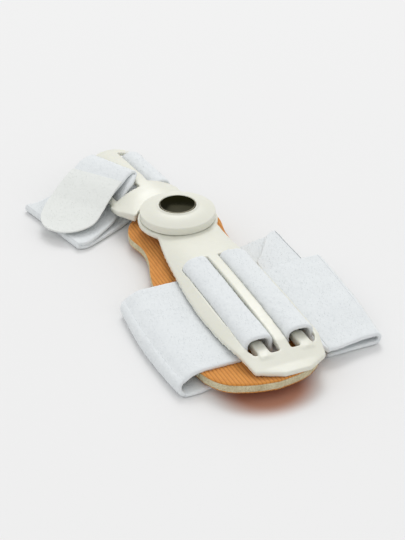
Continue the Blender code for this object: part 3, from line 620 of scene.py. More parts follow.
def make_rib():
    half = RIB_HALF_WIDTH - 0.05
    web_bottom = max(PLATE_CROWN - RIB_DEPTH, PLATE_EDGE_BOTTOM)
    loops = []
    for row in smooth_rows(PLATE_ROWS, 6, 2):
        y = -row[0] * PLATE_LENGTH
        if -(WINDOW_FROM_HINGE + WINDOW_LENGTH + 3.0) <= y <= -(WINDOW_FROM_HINGE - 3.0):
            top = plate_level(row) - PLATE_THICKNESS / 2
            bottom = min(web_bottom, top - PLATE_THICKNESS)
            loops.append([(-half, y, bottom), (half, y, bottom), (half, y, top), (-half, y, top)])
    return loft("rib", loops)


def make_tongue(x):
    """The flat-topped stub that carries a bar's heel end, flush with the heel plate."""
    heel = -(WINDOW_FROM_HINGE + WINDOW_LENGTH + TONGUE_OVERLAP)
    left, right = x - TONGUE_HALF_WIDTH, x + TONGUE_HALF_WIDTH
    loops = []
    for along, top in TONGUE_ROWS:
        y = heel + along
        loops.append([(left, y, TONGUE_BOTTOM), (right, y, TONGUE_BOTTOM), (right, y, top), (left, y, top)])
    return loft("tongue", loops)


def make_main_plate():
    loops = []
    for row in smooth_rows(PLATE_ROWS, 6, 2):
        along, left, right, _, _, droop = row
        loops.append(arched_loop(-along * PLATE_LENGTH, left * PLATE_HALF_WIDTH, right * PLATE_HALF_WIDTH,
                                 plate_level(row), droop * PLATE_ARCH, PLATE_ARCH_POWER, PLATE_THICKNESS))
    plate = loft("plate", loops)
    combine(plate, turned("flange", [
        (0.0, FLANGE_BOTTOM), (FLANGE_EDGE, FLANGE_BOTTOM), (FLANGE_EDGE, FLANGE_TOP),
        (0.0, FLANGE_TOP)], 128), "UNION")
    for side in (-1, 1):
        combine(plate, prism("window", window_outline(side), PAD_TOP, DISC_TOP), "DIFFERENCE")
    combine(plate, make_rib(), "UNION")
    heel = -(WINDOW_FROM_HINGE + WINDOW_LENGTH + BAR_SEAT)
    for side in (-1, 1):
        bar = lengthwise_bar("bar", side * BAR_X, heel, BAR_SEAT - WINDOW_FROM_HINGE, BAR_LEVEL, BAR_RADIUS)
        combine(plate, bar, "UNION")
        combine(plate, make_tongue(side * BAR_X), "UNION")
    bore = PIN_RADIUS + GAP
    combine(plate, turned("bore", [
        (0.0, PAD_TOP), (bore, PAD_TOP), (bore, DISC_TOP), (0.0, DISC_TOP)], 64), "DIFFERENCE")
    soften(plate, 0.42, 5)
    settle(plate, "plate_body", cream_plastic)
    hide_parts("main_plate")
    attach(plate, "splint")
    return plate


plate = make_main_plate()
print("plate faces:", len(plate.data.polygons))

# %% [markdown]
# ## Toe arm
#
# The arm is moulded in the same plastic. Seen from above it curves round the flange at its root and
# ends in a round tip, with a rib in the middle, a slot each side for the strap and a round outer bar
# beside each slot. The left slot narrows towards the tip. The arm is made in the same way as the
# plate, in its own frame, and turned by its rest angle about the hinge at the end.

# %% Toe arm
ARM_LENGTH = 71.0
ARM_THICKNESS = 1.8
ARM_HALF_WIDTH = 17.4
ARM_RISE = 3.6
ARM_DROOP = 7.0
ARM_RIB_HALF_WIDTH = 2.6
SLOT_LENGTH = 33.6
SLOT_FROM_HINGE = 32.4
SLOT_MIDDLE = SLOT_FROM_HINGE + SLOT_LENGTH / 2
ARM_CROWN = ARM_RING_TOP + ARM_RISE
ARM_BAR_RADIUS = 1.7
ARM_BAR_LEVEL = ARM_CROWN - 5.6
ARM_ROOT_RADIUS = FLANGE_RADIUS + 0.9
ARM_ROOT_HALF_WIDTH = 13.4
NECK_HALF_WIDTH = 8.7
NECK_OVERLAP = 2.5

# Columns: side, start from the hinge, bar from the middle, inner edge at the tip
ARM_SLOTS = (
    (-1, 29.5, 15.8, 8.0),
    (1, SLOT_FROM_HINGE, 8.6, ARM_RIB_HALF_WIDTH),
)

# Columns: along, left, right, rise, droop, wall
ARM_ROWS = (
    (0.000, 0.82, 0.66, 0.62, 0.20, 1.80),
    (0.090, 0.97, 0.74, 0.76, 0.36, 1.60),
    (0.180, 1.07, 0.82, 0.88, 0.60, 1.15),
    (0.380, 1.03, 0.94, 1.00, 0.92, 1.00),
    (0.540, 1.00, 0.94, 0.97, 1.00, 1.00),
    (0.710, 0.97, 0.90, 0.90, 0.90, 1.00),
    (0.840, 0.88, 0.78, 0.82, 0.70, 1.00),
    (0.920, 0.74, 0.66, 0.75, 0.48, 1.00),
    (0.970, 0.52, 0.50, 0.70, 0.24, 1.00),
    (1.000, 0.22, 0.22, 0.66, 0.05, 1.00),
)


def arm_loop(along, left, right, crown, droop, thickness):
    """A section of the arm, bent so that its root follows the flange and its tip is straight."""
    loop = arched_loop(0.0, left, right, crown, droop, 2.0, thickness)
    for point in loop:
        start = sqrt(ARM_ROOT_RADIUS**2 - min(abs(point.x), ARM_ROOT_HALF_WIDTH) ** 2)
        point.y = start + along * (ARM_LENGTH - start)
    return loop


def make_toe_arm():
    loops = [arm_loop(along, left * ARM_HALF_WIDTH, right * ARM_HALF_WIDTH,
                      ARM_RING_TOP + rise * ARM_RISE, droop * ARM_DROOP, wall * ARM_THICKNESS)
             for along, left, right, rise, droop, wall in smooth_rows(ARM_ROWS, 6)]
    arm = loft("arm", loops)
    half, end = NECK_HALF_WIDTH, ARM_ROOT_RADIUS + NECK_OVERLAP
    neck = prism("neck", [(-half, 0.0), (half, 0.0), (half, end), (-half, end)],
                 ARM_RING_BOTTOM + 0.1, ARM_RING_TOP - 0.1)
    combine(arm, neck, "UNION")
    combine(arm, turned("ring", [
        (0.0, ARM_RING_BOTTOM), (ARM_RING_RADIUS, ARM_RING_BOTTOM),
        (ARM_RING_RADIUS, ARM_RING_TOP), (0.0, ARM_RING_TOP)], 96), "UNION")
    bore = PIN_RADIUS + GAP
    combine(arm, turned("bore", [
        (0.0, PAD_TOP), (bore, PAD_TOP), (bore, DISC_TOP), (0.0, DISC_TOP)], 64), "DIFFERENCE")
    slot_end = SLOT_FROM_HINGE + SLOT_LENGTH
    for side, start, bar_x, tip_x in ARM_SLOTS:
        near, far = side * ARM_RIB_HALF_WIDTH, side * (ARM_HALF_WIDTH + FRAME_WIDTH)
        slot = prism("slot", [(near, start + 1.5), (far, start - 2.0), (far, slot_end),
                              (side * tip_x, slot_end)], 0.0, DISC_TOP)
        combine(arm, slot, "DIFFERENCE")
        bar = lengthwise_bar("bar", side * bar_x, start - 3.0, slot_end + BAR_SEAT, ARM_BAR_LEVEL,
                             ARM_BAR_RADIUS)
        combine(arm, bar, "UNION")
    soften(arm, 0.36, 4)
    settle(arm, "arm_body", cream_plastic, ARM_REST_DEGREES)
    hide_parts("toe_arm")
    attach(arm, "arm")
    return arm


arm = make_toe_arm()
print("arm faces:", len(arm.data.polygons))

# %% [markdown]
# ## Hinge disc and its dark cap
#
# The disc that covers the hinge is turned, so its outline is all that has to be drawn. The rim's
# corners are small arcs, the top is a low cone that swells a little, and a thin lip runs round the
# recess. The cap in it is a near-black mirror with a bright bevelled edge, which is its own finish.

# %% Hinge
CAP_RADIUS = 7.5
CAP_EDGE_HEIGHT = 1.35
SOCKET_DEPTH = 2.4
SOCKET_TOP = DISC_BOTTOM + SOCKET_DEPTH + GAP
CAP_SEAT = SOCKET_TOP + 1.8
RIM_CORNER = 0.55
LIP_WIDTH = 0.9
CONE_SWELL = 0.22
CONE_STEPS = 12


def make_disc():
    recess = CAP_RADIUS + GAP
    lip = recess + LIP_WIDTH
    socket = PIN_RADIUS + GAP
    profile = [(0.0, SOCKET_TOP), (socket, SOCKET_TOP), (socket, DISC_BOTTOM)]
    profile += arc(DISC_RADIUS - RIM_CORNER, DISC_BOTTOM + RIM_CORNER, RIM_CORNER, -90, 0, 5)
    profile += arc(DISC_RADIUS - RIM_CORNER, DISC_RIM_TOP - RIM_CORNER, RIM_CORNER, 0, 75, 6)
    start_r, start_z = profile[-1]
    for step in range(1, CONE_STEPS + 1):
        t = step / CONE_STEPS
        swell = CONE_SWELL * sin(pi * t)
        profile.append((start_r + (lip - start_r) * t, start_z + (DISC_TOP - start_z) * t + swell))
    profile += [(lip - 0.12, DISC_TOP + 0.16), (lip - 0.32, DISC_TOP + 0.3),
                (lip - 0.55, DISC_TOP + 0.3), (recess + 0.12, DISC_TOP + 0.16),
                (recess, DISC_TOP - 0.1), (recess, CAP_SEAT), (0.0, CAP_SEAT)]
    disc = turned("disc", profile, 160)
    settle(disc, "disc_body", cream_plastic)
    disc.data.set_sharp_from_angle(angle=radians(50.0))
    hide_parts("hinge_disc")
    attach(disc, "splint")
    return disc


def make_mirror(name, color, second, roughness):
    """A polished metal with faint wipe marks in its tone and gloss."""
    material, shader = start_finish(name, roughness, 0.0, 0.5)
    shader.inputs["Metallic"].default_value = 1.0
    shader.inputs["Specular Tint"].default_value = (0.5, 0.5, 0.45, 1.0)
    links = material.node_tree.links
    tone = add_group(material, mottling, add_coordinates(material), {
        "Color": color, "Second Color": second, "Scale": 120.0, "Fine Scale": 1500.0, "Amount": 0.8})
    links.new(tone.outputs["Color"], shader.inputs["Base Color"])
    gloss = material.node_tree.nodes.new("ShaderNodeMapRange")
    gloss.inputs["To Min"].default_value = roughness
    gloss.inputs["To Max"].default_value = roughness + 0.08
    links.new(tone.outputs["Mask"], gloss.inputs["Value"])
    links.new(gloss.outputs["Result"], shader.inputs["Roughness"])
    return material


def make_cap(top_finish, edge_finish):
    bottom = CAP_SEAT + GAP
    edge = bottom + CAP_EDGE_HEIGHT
    profile = [(0.0, bottom), (CAP_RADIUS, bottom), (CAP_RADIUS, edge - 0.55)]
    profile += [(CAP_RADIUS - 0.08, edge - 0.15), (CAP_RADIUS - 0.24, edge)]
    for step in range(1, 9):
        t = step / 8
        profile.append(((CAP_RADIUS - 0.24) * (1 - t), edge + 0.3 * sin(pi / 2 * t)))
    cap = turned("cap", profile, 96)
    settle(cap, "cap_body", top_finish)
    cap.data.materials.append(edge_finish)
    inner = (CAP_RADIUS - 0.25) * MM
    for face in cap.data.polygons:
        x, y, _ = face.center
        if sqrt(x * x + (y - HINGE_FROM_STRAP * MM) ** 2) > inner:
            face.material_index = 1
    cap.data.set_sharp_from_angle(angle=radians(25.0))
    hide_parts("hinge_cap")
    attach(cap, "splint")
    return cap


disc = make_disc()
dark_mirror = make_mirror("dark_mirror", (0.013, 0.013, 0.011, 1.0), (0.017, 0.016, 0.013, 1.0), 0.07)
bright_edge = make_mirror("bright_edge", (0.42, 0.40, 0.32, 1.0), (0.30, 0.28, 0.22, 1.0), 0.15)
cap = make_cap(dark_mirror, bright_edge)
pin = bpy.data.objects["hinge_pin"]
for pin_slot in pin.material_slots:
    pin_slot.material = cream_plastic
print("disc faces:", len(disc.data.polygons), "cap faces:", len(cap.data.polygons))

# %% [markdown]
# ## Pad
#
# The pad is die-cut from a laminate: a corded cloth, a cream foam and the same cloth beneath. Its cut
# edge shows the foam between two thin lines of cloth. The cords run lengthwise, 1.4 mm apart, and are
# real relief here. The sheet's grid has columns at fixed places, so the cords stay straight, and a
# point that would fall outside the outline is drawn in to it.

# %% Pad
PAD_LENGTH = 110.0
PAD_LEFT = 31.0
PAD_RIGHT = 20.0
CORD_PITCH = 1.4
CORD_HEIGHT = 0.22
HEEL_CURL_FROM = 78.0
HEEL_CURL = 1.7
HEEL_EXTRA = 2.2
HEEL_EXTRA_FROM = 0.7
HEEL_EXTRA_SPAN = 0.3
FOAM_TUCK = 0.10
KNIT_PITCH = 0.9
KNIT_HEIGHT = 0.05
CORD_ROUNDNESS = 0.7

# Columns: along, left, right
PAD_ROWS = (
    (-0.196, 0.02, 0.02),
    (-0.175, 0.29, 0.44),
    (-0.122, 0.54, 0.82),
    (-0.035, 0.66, 1.02),
    (0.070, 0.61, 0.92),
    (0.160, 0.65, 0.89),
    (0.260, 0.76, 0.94),
    (0.430, 0.89, 0.98),
    (0.650, 0.98, 0.99),
    (0.800, 1.01, 0.92),
    (0.890, 0.95, 0.77),
    (0.950, 0.80, 0.48),
    (0.985, 0.53, 0.12),
    (1.000, 0.26, -0.38),
)


def pad_rows(steps):
    """The outline's rows in millimetres, with the last part of the heel drawn out a little."""
    rows = []
    for along, left, right in smooth_rows(PAD_ROWS, steps):
        y = -along * PAD_LENGTH - HEEL_EXTRA * max(along - HEEL_EXTRA_FROM, 0.0) / HEEL_EXTRA_SPAN
        rows.append((y, -left * PAD_LEFT, right * PAD_RIGHT))
    return rows


def pad_layer(name, steps, spacing, low, high):
    """A flat layer over the pad's outline. low and high give the height at a point and the edge's
    nearness there."""
    rows = pad_rows(steps)
    left_end = floor(min(row[1] for row in rows) / spacing) - 1
    right_end = floor(max(row[2] for row in rows) / spacing) + 2
    bm = bmesh.new()
    sheets = []
    for level in (high, low):
        grid = []
        for index, (y, left, right) in enumerate(rows):
            line = []
            from_end = min(index, len(rows) - 1 - index)
            for column in range(left_end, right_end + 1):
                x = min(max(column * spacing, left), right)
                edge = min(x - left, right - x, 0.6 * from_end)
                line.append(bm.verts.new((x, y, level(x, y, edge))))
            grid.append(line)
        for line, following in zip(grid, grid[1:]):
            for a, b, c, d in zip(line, line[1:], following[1:], following):
                bm.faces.new((a, b, c, d) if level is low else (d, c, b, a))
        sheets.append(grid)
    top, bottom = sheets
    for row in range(len(rows) - 1):
        for column in (0, -1):
            corners = [top[row][column], top[row + 1][column],
                       bottom[row + 1][column], bottom[row][column]]
            bm.faces.new(corners if column == 0 else corners[::-1])
    for column in range(len(top[0]) - 1):
        for row in (0, -1):
            bm.faces.new((top[row][column], top[row][column + 1],
                          bottom[row][column + 1], bottom[row][column]))
    bmesh.ops.remove_doubles(bm, verts=bm.verts, dist=2e-3)
    bmesh.ops.dissolve_degenerate(bm, edges=bm.edges, dist=1e-3)
    bmesh.ops.recalc_face_normals(bm, faces=bm.faces)
    return object_from(name, bm)


def heel_lift(y):
    """The pad's heel end curls up a little, clear of the floor."""
    past = max(-y - HEEL_CURL_FROM, 0.0) / (PAD_LENGTH - HEEL_CURL_FROM)
    return HEEL_CURL * past * past


def cord_height(x, y):
    """Round cords side by side, with a knit beat along each."""
    phase = x / CORD_PITCH
    across = abs(sin(pi * phase))
    beat = 0.5 + 0.5 * sin(2 * pi * (y / KNIT_PITCH + 0.5 * floor(phase)))
    return CORD_HEIGHT * (across ** CORD_ROUNDNESS) + KNIT_HEIGHT * beat * across


def edge_round(edge, reach, depth):
    near = max(1.0 - edge / reach, 0.0)
    return depth * near * near


def top_cover_level(x, y, edge):
    wave = 0.08 * noise.noise(Vector((x / 9.0, y / 14.0, 3.0)))
    return PAD_TOP - 0.05 + cord_height(x, y) * 0.8 + wave - edge_round(edge, 1.1, 0.35) + heel_lift(y)


def top_cover_floor(x, y, edge):
    return TOP_COVER_BOTTOM - 0.12 + heel_lift(y)


def bottom_cover_level(x, y, edge):
    return PAD_BOTTOM + 0.10 - cord_height(x, y) * 0.6 + edge_round(edge, 1.1, 0.25) + heel_lift(y)


def bottom_cover_top(x, y, edge):
    return PAD_BOTTOM + COVER_THICKNESS + 0.12 + heel_lift(y)


def make_pad_foam():
    """The foam's cut edge: a ring of small faces, roughened as cut foam is."""
    outline = []
    rows = pad_rows(24)
    outline += [(left, y) for y, left, right in rows]
    outline += [(right, y) for y, left, right in reversed(rows)]
    clean = []
    for point in outline:
        if not clean or (Vector(point) - Vector(clean[-1])).length > 0.25:
            clean.append(point)
    bm = bmesh.new()
    low, high = PAD_BOTTOM + COVER_THICKNESS + FOAM_TUCK, TOP_COVER_BOTTOM - FOAM_TUCK
    levels = 9
    count = len(clean)
    rings = []
    for level in range(levels + 1):
        z = low + (high - low) * level / levels
        ring = []
        for index, (x, y) in enumerate(clean):
            before = Vector(clean[index - 1])
            after = Vector(clean[(index + 1) % count])
            along = (after - before).normalized()
            outward = Vector((along.y, -along.x)) * -1
            rough = 0.16 * noise.noise(Vector((x / 0.9, y / 0.9, z / 0.9)))
            belly = -0.12 * sin(pi * level / levels) - 0.05
            push = rough + belly
            ring.append(bm.verts.new((x + outward.x * push, y + outward.y * push, z + heel_lift(y))))
        rings.append(ring)
    for ring, following in zip(rings, rings[1:]):
        for index in range(count):
            other = (index + 1) % count
            bm.faces.new((ring[index], ring[other], following[other], following[index]))
    bottom = bm.faces.new(rings[0])
    top = bm.faces.new(list(reversed(rings[-1])))
    bmesh.ops.triangulate(bm, faces=[bottom, top])
    bmesh.ops.recalc_face_normals(bm, faces=bm.faces)
    return object_from("foam", bm)


def make_corded_cloth(name, color, dark):
    """Cord cloth: lighter on the cords, and darker and redder between them by painted shade in the grooves.
    """
    material, shader = start_finish(name, 0.85, 0.12, 0.25)
    nodes, links = material.node_tree.nodes, material.node_tree.links
    place = add_coordinates(material)
    split = nodes.new("ShaderNodeSeparateXYZ")
    links.new(place, split.inputs[0])
    phase = nodes.new("ShaderNodeMath")
    phase.operation = "MULTIPLY"
    phase.inputs[1].default_value = pi / (CORD_PITCH * MM)
    links.new(split.outputs["X"], phase.inputs[0])
    wave = nodes.new("ShaderNodeMath")
    wave.operation = "SINE"
    links.new(phase.outputs[0], wave.inputs[0])
    size = nodes.new("ShaderNodeMath")
    size.operation = "ABSOLUTE"
    links.new(wave.outputs[0], size.inputs[0])
    # Painted shade: the colour is darkened and reddened in the grooves between the cords, where shade falls.
    painted_groove_shade = nodes.new("ShaderNodeMapRange")
    painted_groove_shade.inputs["From Min"].default_value = 0.0
    painted_groove_shade.inputs["From Max"].default_value = 0.7
    painted_groove_shade.inputs["To Min"].default_value = 0.85
    painted_groove_shade.inputs["To Max"].default_value = 0.0
    links.new(size.outputs[0], painted_groove_shade.inputs["Value"])
    tone = add_group(material, mottling, place, {
        "Color": color, "Second Color": (color[0] * 0.82, color[1] * 0.72, color[2] * 0.7, 1.0),
        "Scale": 160.0, "Fine Scale": 1300.0, "Amount": 0.8})
    mix = nodes.new("ShaderNodeMix")
    mix.data_type = "RGBA"
    links.new(painted_groove_shade.outputs["Result"], mix.inputs[0])
    links.new(tone.outputs["Color"], mix.inputs[6])
    mix.inputs[7].default_value = dark
    links.new(mix.outputs[2], shader.inputs["Base Color"])
    thread = add_group(material, fuzz, place, {"Scale": 2200.0, "Coarse Scale": 900.0, "Coarse Share": 0.5})
    add_bump(material, shader, thread.outputs["Height"], 0.5, 0.0002)
    return material


def make_foam_finish():
    """Cut foam: pale, with open cells and specks of the cloth's fibre."""
    material, shader = start_finish("cream_foam", 0.95, 0.0, 0.1)
    nodes, links = material.node_tree.nodes, material.node_tree.links
    place = add_coordinates(material)
    tone = add_group(material, mottling, place, {
        "Color": (0.72, 0.66, 0.46, 1.0), "Second Color": (0.52, 0.44, 0.27, 1.0), "Scale": 260.0,
        "Fine Scale": 1500.0, "Amount": 0.9})
    cells = nodes.new("ShaderNodeTexVoronoi")
    cells.inputs["Scale"].default_value = 1700.0
    links.new(place, cells.inputs["Vector"])
    speck = nodes.new("ShaderNodeMapRange")
    speck.inputs["From Min"].default_value = 0.0
    speck.inputs["From Max"].default_value = 0.22
    speck.inputs["To Min"].default_value = 0.8
    speck.inputs["To Max"].default_value = 0.0
    links.new(cells.outputs["Distance"], speck.inputs["Value"])
    mix = nodes.new("ShaderNodeMix")
    mix.data_type = "RGBA"
    links.new(speck.outputs["Result"], mix.inputs[0])
    links.new(tone.outputs["Color"], mix.inputs[6])
    mix.inputs[7].default_value = (0.30, 0.17, 0.07, 1.0)
    links.new(mix.outputs[2], shader.inputs["Base Color"])
    add_bump(material, shader, cells.outputs["Distance"], 0.8, 0.0004)
    return material


# The third colour is the painted shade in the grooves between the cords.
tan_cloth = make_corded_cloth("tan_ribbed_cloth", (0.707, 0.305, 0.058, 1.0), (0.437, 0.155, 0.024, 1.0))
cream_foam = make_foam_finish()


def make_pad():
    top = pad_layer("top", 10, CORD_PITCH / 5, top_cover_floor, top_cover_level)
    bottom = pad_layer("bottom", 6, CORD_PITCH / 4, bottom_cover_level, bottom_cover_top)
    foam = make_pad_foam()
    parts = ((top, "pad_cloth_top", "pad_top_cover", tan_cloth, "tan_ribbed_cloth"),
             (bottom, "pad_cloth_bottom", "pad_bottom_cover", tan_cloth, "tan_ribbed_cloth"),
             (foam, "pad_foam_core", "pad_foam", cream_foam, "cream_foam"))
    for item, name, node, finish, slot_name in parts:
        settle(item, name, finish)
        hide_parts(node)
        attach(item, "splint")
        print(name, "faces:", len(item.data.polygons))


make_pad()

# %% [markdown]
# ## Straps
#
# Both straps are plush loop tape: a knitted band with a short brushed pile and cut edges. They are
# bands carried along a route, so their shape comes from the route's stations. The routes follow the
# CAD solids', over the same bars and through the same slots, with more steps and with the folds that
# the photograph shows. A slow noise along the surface keeps the bands from looking like sheet metal.

# %% Strap sections
EDGE_ROUND = 0.8
EDGE_TURNS = (60, 30, 0, -30, -60)
RIPPLE_SIZE = 11.0
GRAIN_SIZE = 1.3
UNDERSIDE_SHIFT = 7.0
UV_PER_MM = 0.01
UV_UNDERSIDE = 60.0
STEP_FROM = 0.04
STEP_SPAN = 0.38


def step_up(share):
    t = min(max((share - STEP_FROM) / STEP_SPAN, 0.0), 1.0)
    return t * t * (3 - 2 * t)


def even_tilt(share):
    return share


def band(name, stations, width, thickness, spans, rise_at, ripple, pile):
    """A band with rounded cut edges. Its UV map runs along the route and across the width. A
    station is x, y, z, lift, skew in degrees, share of the width and bow."""
    centers = [Vector(station[:3]) for station in stations]
    travelled = [0.0]
    for before, after in zip(centers, centers[1:]):
        travelled.append(travelled[-1] + (after - before).length)
    half_thick = thickness / 2
    rings = []
    marks = []
    for index, (center, station) in enumerate(zip(centers, stations)):
        before = centers[max(index - 1, 0)]
        after = centers[min(index + 1, len(centers) - 1)]
        lift, skew, widening, bow = station[3:]
        across = Vector((sin(radians(skew)), cos(radians(skew)), 0.0))
        travel = (after - before).normalized()
        normal = travel.cross(across).normalized()
        half = width * widening / 2
        inset = min(EDGE_ROUND, half_thick, half)
        reach = half - inset
        section = []
        for step in range(spans + 1):
            section.append((reach * (2 * step / spans - 1), 1.0, step / spans))
        for turn in EDGE_TURNS:
            section.append((reach + inset * cos(radians(turn)), sin(radians(turn)), 1.0))
        for step in range(spans, -1, -1):
            section.append((reach * (2 * step / spans - 1), -1.0, step / spans))
        for turn in reversed(EDGE_TURNS):
            section.append((-reach - inset * cos(radians(turn)), sin(radians(turn)), 0.0))
        ring = []
        for sideways, upward, share in section:
            point = center + across * sideways
            point.z += lift * rise_at(share)
            point.x -= bow * (1 - (2 * share - 1) ** 2)
            spot = Vector((travelled[index], sideways, UNDERSIDE_SHIFT * upward))
            slow = ripple * noise.noise(spot / RIPPLE_SIZE)
            fine = pile * noise.noise(spot / GRAIN_SIZE)
            ring.append(point + normal * (upward * (half_thick + fine) + slow))
        rings.append(ring)
        marks.append([(travelled[index] * UV_PER_MM, (sideways + UV_UNDERSIDE * (upward < 0)) * UV_PER_MM)
                      for sideways, upward, _ in section])
    bm = bmesh.new()
    layer = bm.loops.layers.uv.new("cloth")
    verts = [[bm.verts.new(point) for point in ring] for ring in rings]
    count = len(verts[0])
    for row in range(len(verts) - 1):
        for index in range(count):
            other = (index + 1) % count
            face = bm.faces.new((verts[row][index], verts[row][other],
                                 verts[row + 1][other], verts[row + 1][index]))
            for loop, mark in zip(face.loops, (marks[row][index], marks[row][other],
                                               marks[row + 1][other], marks[row + 1][index])):
                loop[layer].uv = mark
    ends = [bm.faces.new(verts[0]), bm.faces.new(list(reversed(verts[-1])))]
    bmesh.ops.triangulate(bm, faces=ends)
    bmesh.ops.recalc_face_normals(bm, faces=bm.faces)
    return object_from(name, bm), travelled[-1]


# %% [markdown]
# ## Wide strap
#
# The wide strap goes over both bars, folds under at the left, runs back beneath the pad and ends at
# the right in two folded packs. The far pack lies under the near one, so the near one steps up on it.
# Over each bar it rises as a half round. A power below one on the circle's sine and cosine squares
# that off, which is how a padded band looks when it is drawn tight over a bar.

# %% Wide strap
WIDE_STRAP_WIDTH = 57.0
STRAP_BEND = 1.7
LEFT_REACH = 38.0
LEFT_FOLD_RADIUS = 2.0
FOLD_BOW = 4.2
RIGHT_REACH = 44.4
RIGHT_SKEW = 4.0
PACK_REACH = 38.6
PACK_SHIFT = 27.0
PLUSH = 1.7
CLEAR_OF_FLOOR = 0.2
NEAR_FOLD_RADIUS = 1.9
FAR_FOLD_RADIUS = 0.9
LOWER_LIFT = 3.5
UPPER_LIFT = 1.5
FOOT_BOW = 0.30
ROLL_HALF_WIDTH = 4.95
ROLL_LIFT = 1.6
ROLL_RISE = 3.9
ROLL_SQUARENESS = 0.72
WINDOW_SLANT_RUN = 12.0
WINDOW_TOE_GAP = 0.1

# Columns: across, height, along, lift, skew, bow
RIGHT_TOP_ROWS = (
    (0.82, 0.00, -0.09, 1.00, 4.0, 0.0),
    (0.69, 0.03, -0.12, 1.00, 3.0, 0.0),
    (0.59, 0.09, -0.15, 1.00, 2.0, 0.0),
    (0.50, 0.14, -0.17, 1.00, 1.0, 0.0),
    (0.40, 0.24, -0.17, 0.90, 0.0, 0.0),
)
LEFT_TOP_ROWS = (
    (0.52, 1.00, 0.00, 0.0, 0.0, 0.0),
    (0.68, 1.00, 0.00, 0.0, 0.0, 0.10),
    (0.82, 0.99, 0.00, 0.0, -1.0, 0.20),
    (0.90, 0.80, -0.01, 0.0, -1.0, 0.25),
    (0.96, 0.42, -0.02, 0.0, -1.0, 0.30),
)
BOTTOM_ROWS = (
    (-0.86, 0.0, -0.12, 0.0, -1.0, 0.60),
    (-0.50, 0.0, 0.02, 0.0, -6.0, 0.4),
    (-0.20, 0.0, 0.26, 0.0, -12.0, 0.0),
    (0.15, 0.0, 0.54, 0.0, -12.0, 0.0),
    (0.50, 0.0, 0.79, 0.0, -8.0, 0.0),
    (0.80, 0.0, 0.94, 0.0, -3.0, 0.0),
)
PACK_TOP_ROWS = (
    (0.92, 0.0, 0.93, 0.0, 0.0, 0.0),
    (0.76, 0.0, 0.70, 0.0, 3.0, 0.0),
    (0.63, 0.0, 0.48, 0.0, 5.0, 0.0),
    (0.50, 0.0, 0.26, 0.0, 5.0, 0.0),
)


def wide_strap_stations():
    low = PLUSH / 2 + CLEAR_OF_FLOOR
    over = STRAP_OVER_PAD
    near_top = low + 2 * NEAR_FOLD_RADIUS
    near_y = RIGHT_TOP_ROWS[0][2] * PACK_SHIFT
    stations = []

    def add(x, z, y=0.0, lift=0.0, skew=0.0, bow=0.0, extra=0.0):
        share = (WIDE_STRAP_WIDTH + extra) / WIDE_STRAP_WIDTH
        stations.append((x, y + extra / 2, z, lift, skew, share, bow * FOLD_BOW))

    fold_x = RIGHT_REACH - NEAR_FOLD_RADIUS - low
    for share in (0.47, 0.64, 0.82):
        add(share * RIGHT_REACH, low, near_y, LOWER_LIFT, RIGHT_SKEW)
    for step, (x, z) in enumerate(arc(fold_x, low + NEAR_FOLD_RADIUS, NEAR_FOLD_RADIUS, -90, 90, 8)):
        add(x, z, near_y, LOWER_LIFT + (UPPER_LIFT - LOWER_LIFT) * step / 8, RIGHT_SKEW)
    for across, height, along, lift, skew, bow in smooth_rows(RIGHT_TOP_ROWS, 3):
        add(across * RIGHT_REACH, near_top + height * (over - near_top), along * PACK_SHIFT,
            lift * UPPER_LIFT, skew, bow)
    corner = over + STRAP_BEND
    for side in (1, -1):
        bar = side * BAR_X
        outside = ROLL_HALF_WIDTH + STRAP_BEND
        for step, (x, z) in enumerate(arc(bar + outside, corner, STRAP_BEND, -90, -180, 4)):
            add(x, z, extra=toe_reach(x) * step / 4)
        for x, z in arc(0.0, 0.0, 1.0, 0, 180, 18):
            place = bar + copysign(abs(x) ** ROLL_SQUARENESS, x) * ROLL_HALF_WIDTH
            add(place, BAR_LEVEL + ROLL_LIFT + z ** ROLL_SQUARENESS * ROLL_RISE, extra=toe_reach(place))
        for step, (x, z) in enumerate(arc(bar - outside, corner, STRAP_BEND, 0, -90, 4)):
            add(x, z, extra=toe_reach(x) * (1 - step / 4))
    for across, height, along, lift, skew, bow in smooth_rows(LEFT_TOP_ROWS, 3):
        level = low + 2 * LEFT_FOLD_RADIUS
        add(-across * LEFT_REACH, level + height * (over - level), along * PACK_SHIFT, lift, skew, bow)
    stations.pop()
    for step, (x, z) in enumerate(arc(-LEFT_REACH, low + LEFT_FOLD_RADIUS, LEFT_FOLD_RADIUS, 90, 270, 12)):
        along = LEFT_TOP_ROWS[-1][2] + (BOTTOM_ROWS[0][2] - LEFT_TOP_ROWS[-1][2]) * step / 12
        add(x, z, along * PACK_SHIFT, 0.0, BOTTOM_ROWS[0][4], 0.32 + FOOT_BOW * max(step - 4, 0) / 8)
    for across, height, along, lift, skew, bow in smooth_rows(BOTTOM_ROWS, 3):
        reach = PACK_REACH if across > 0 else LEFT_REACH
        add(across * reach, low, along * PACK_SHIFT, lift, skew, bow)
    pack_x = PACK_REACH + FAR_FOLD_RADIUS / 2
    for x, z in arc(pack_x, low + FAR_FOLD_RADIUS, FAR_FOLD_RADIUS, -90, 90, 8):
        add(x, z, PACK_SHIFT)
    for across, height, along, lift, skew, bow in smooth_rows(PACK_TOP_ROWS, 2):
        add(across * PACK_REACH, low + 2 * FAR_FOLD_RADIUS, along * PACK_SHIFT, lift, skew, bow)
    return stations


def toe_reach(x):
    """How far past the strap's straight edge the pile swells to fill a window's slanted toe end."""
    slant = WINDOW_SLANT * (abs(x) - RIB_HALF_WIDTH) / WINDOW_SLANT_RUN
    window_toe = HINGE_FROM_STRAP - WINDOW_FROM_HINGE - slant
    return window_toe - WINDOW_TOE_GAP - WIDE_STRAP_WIDTH / 2


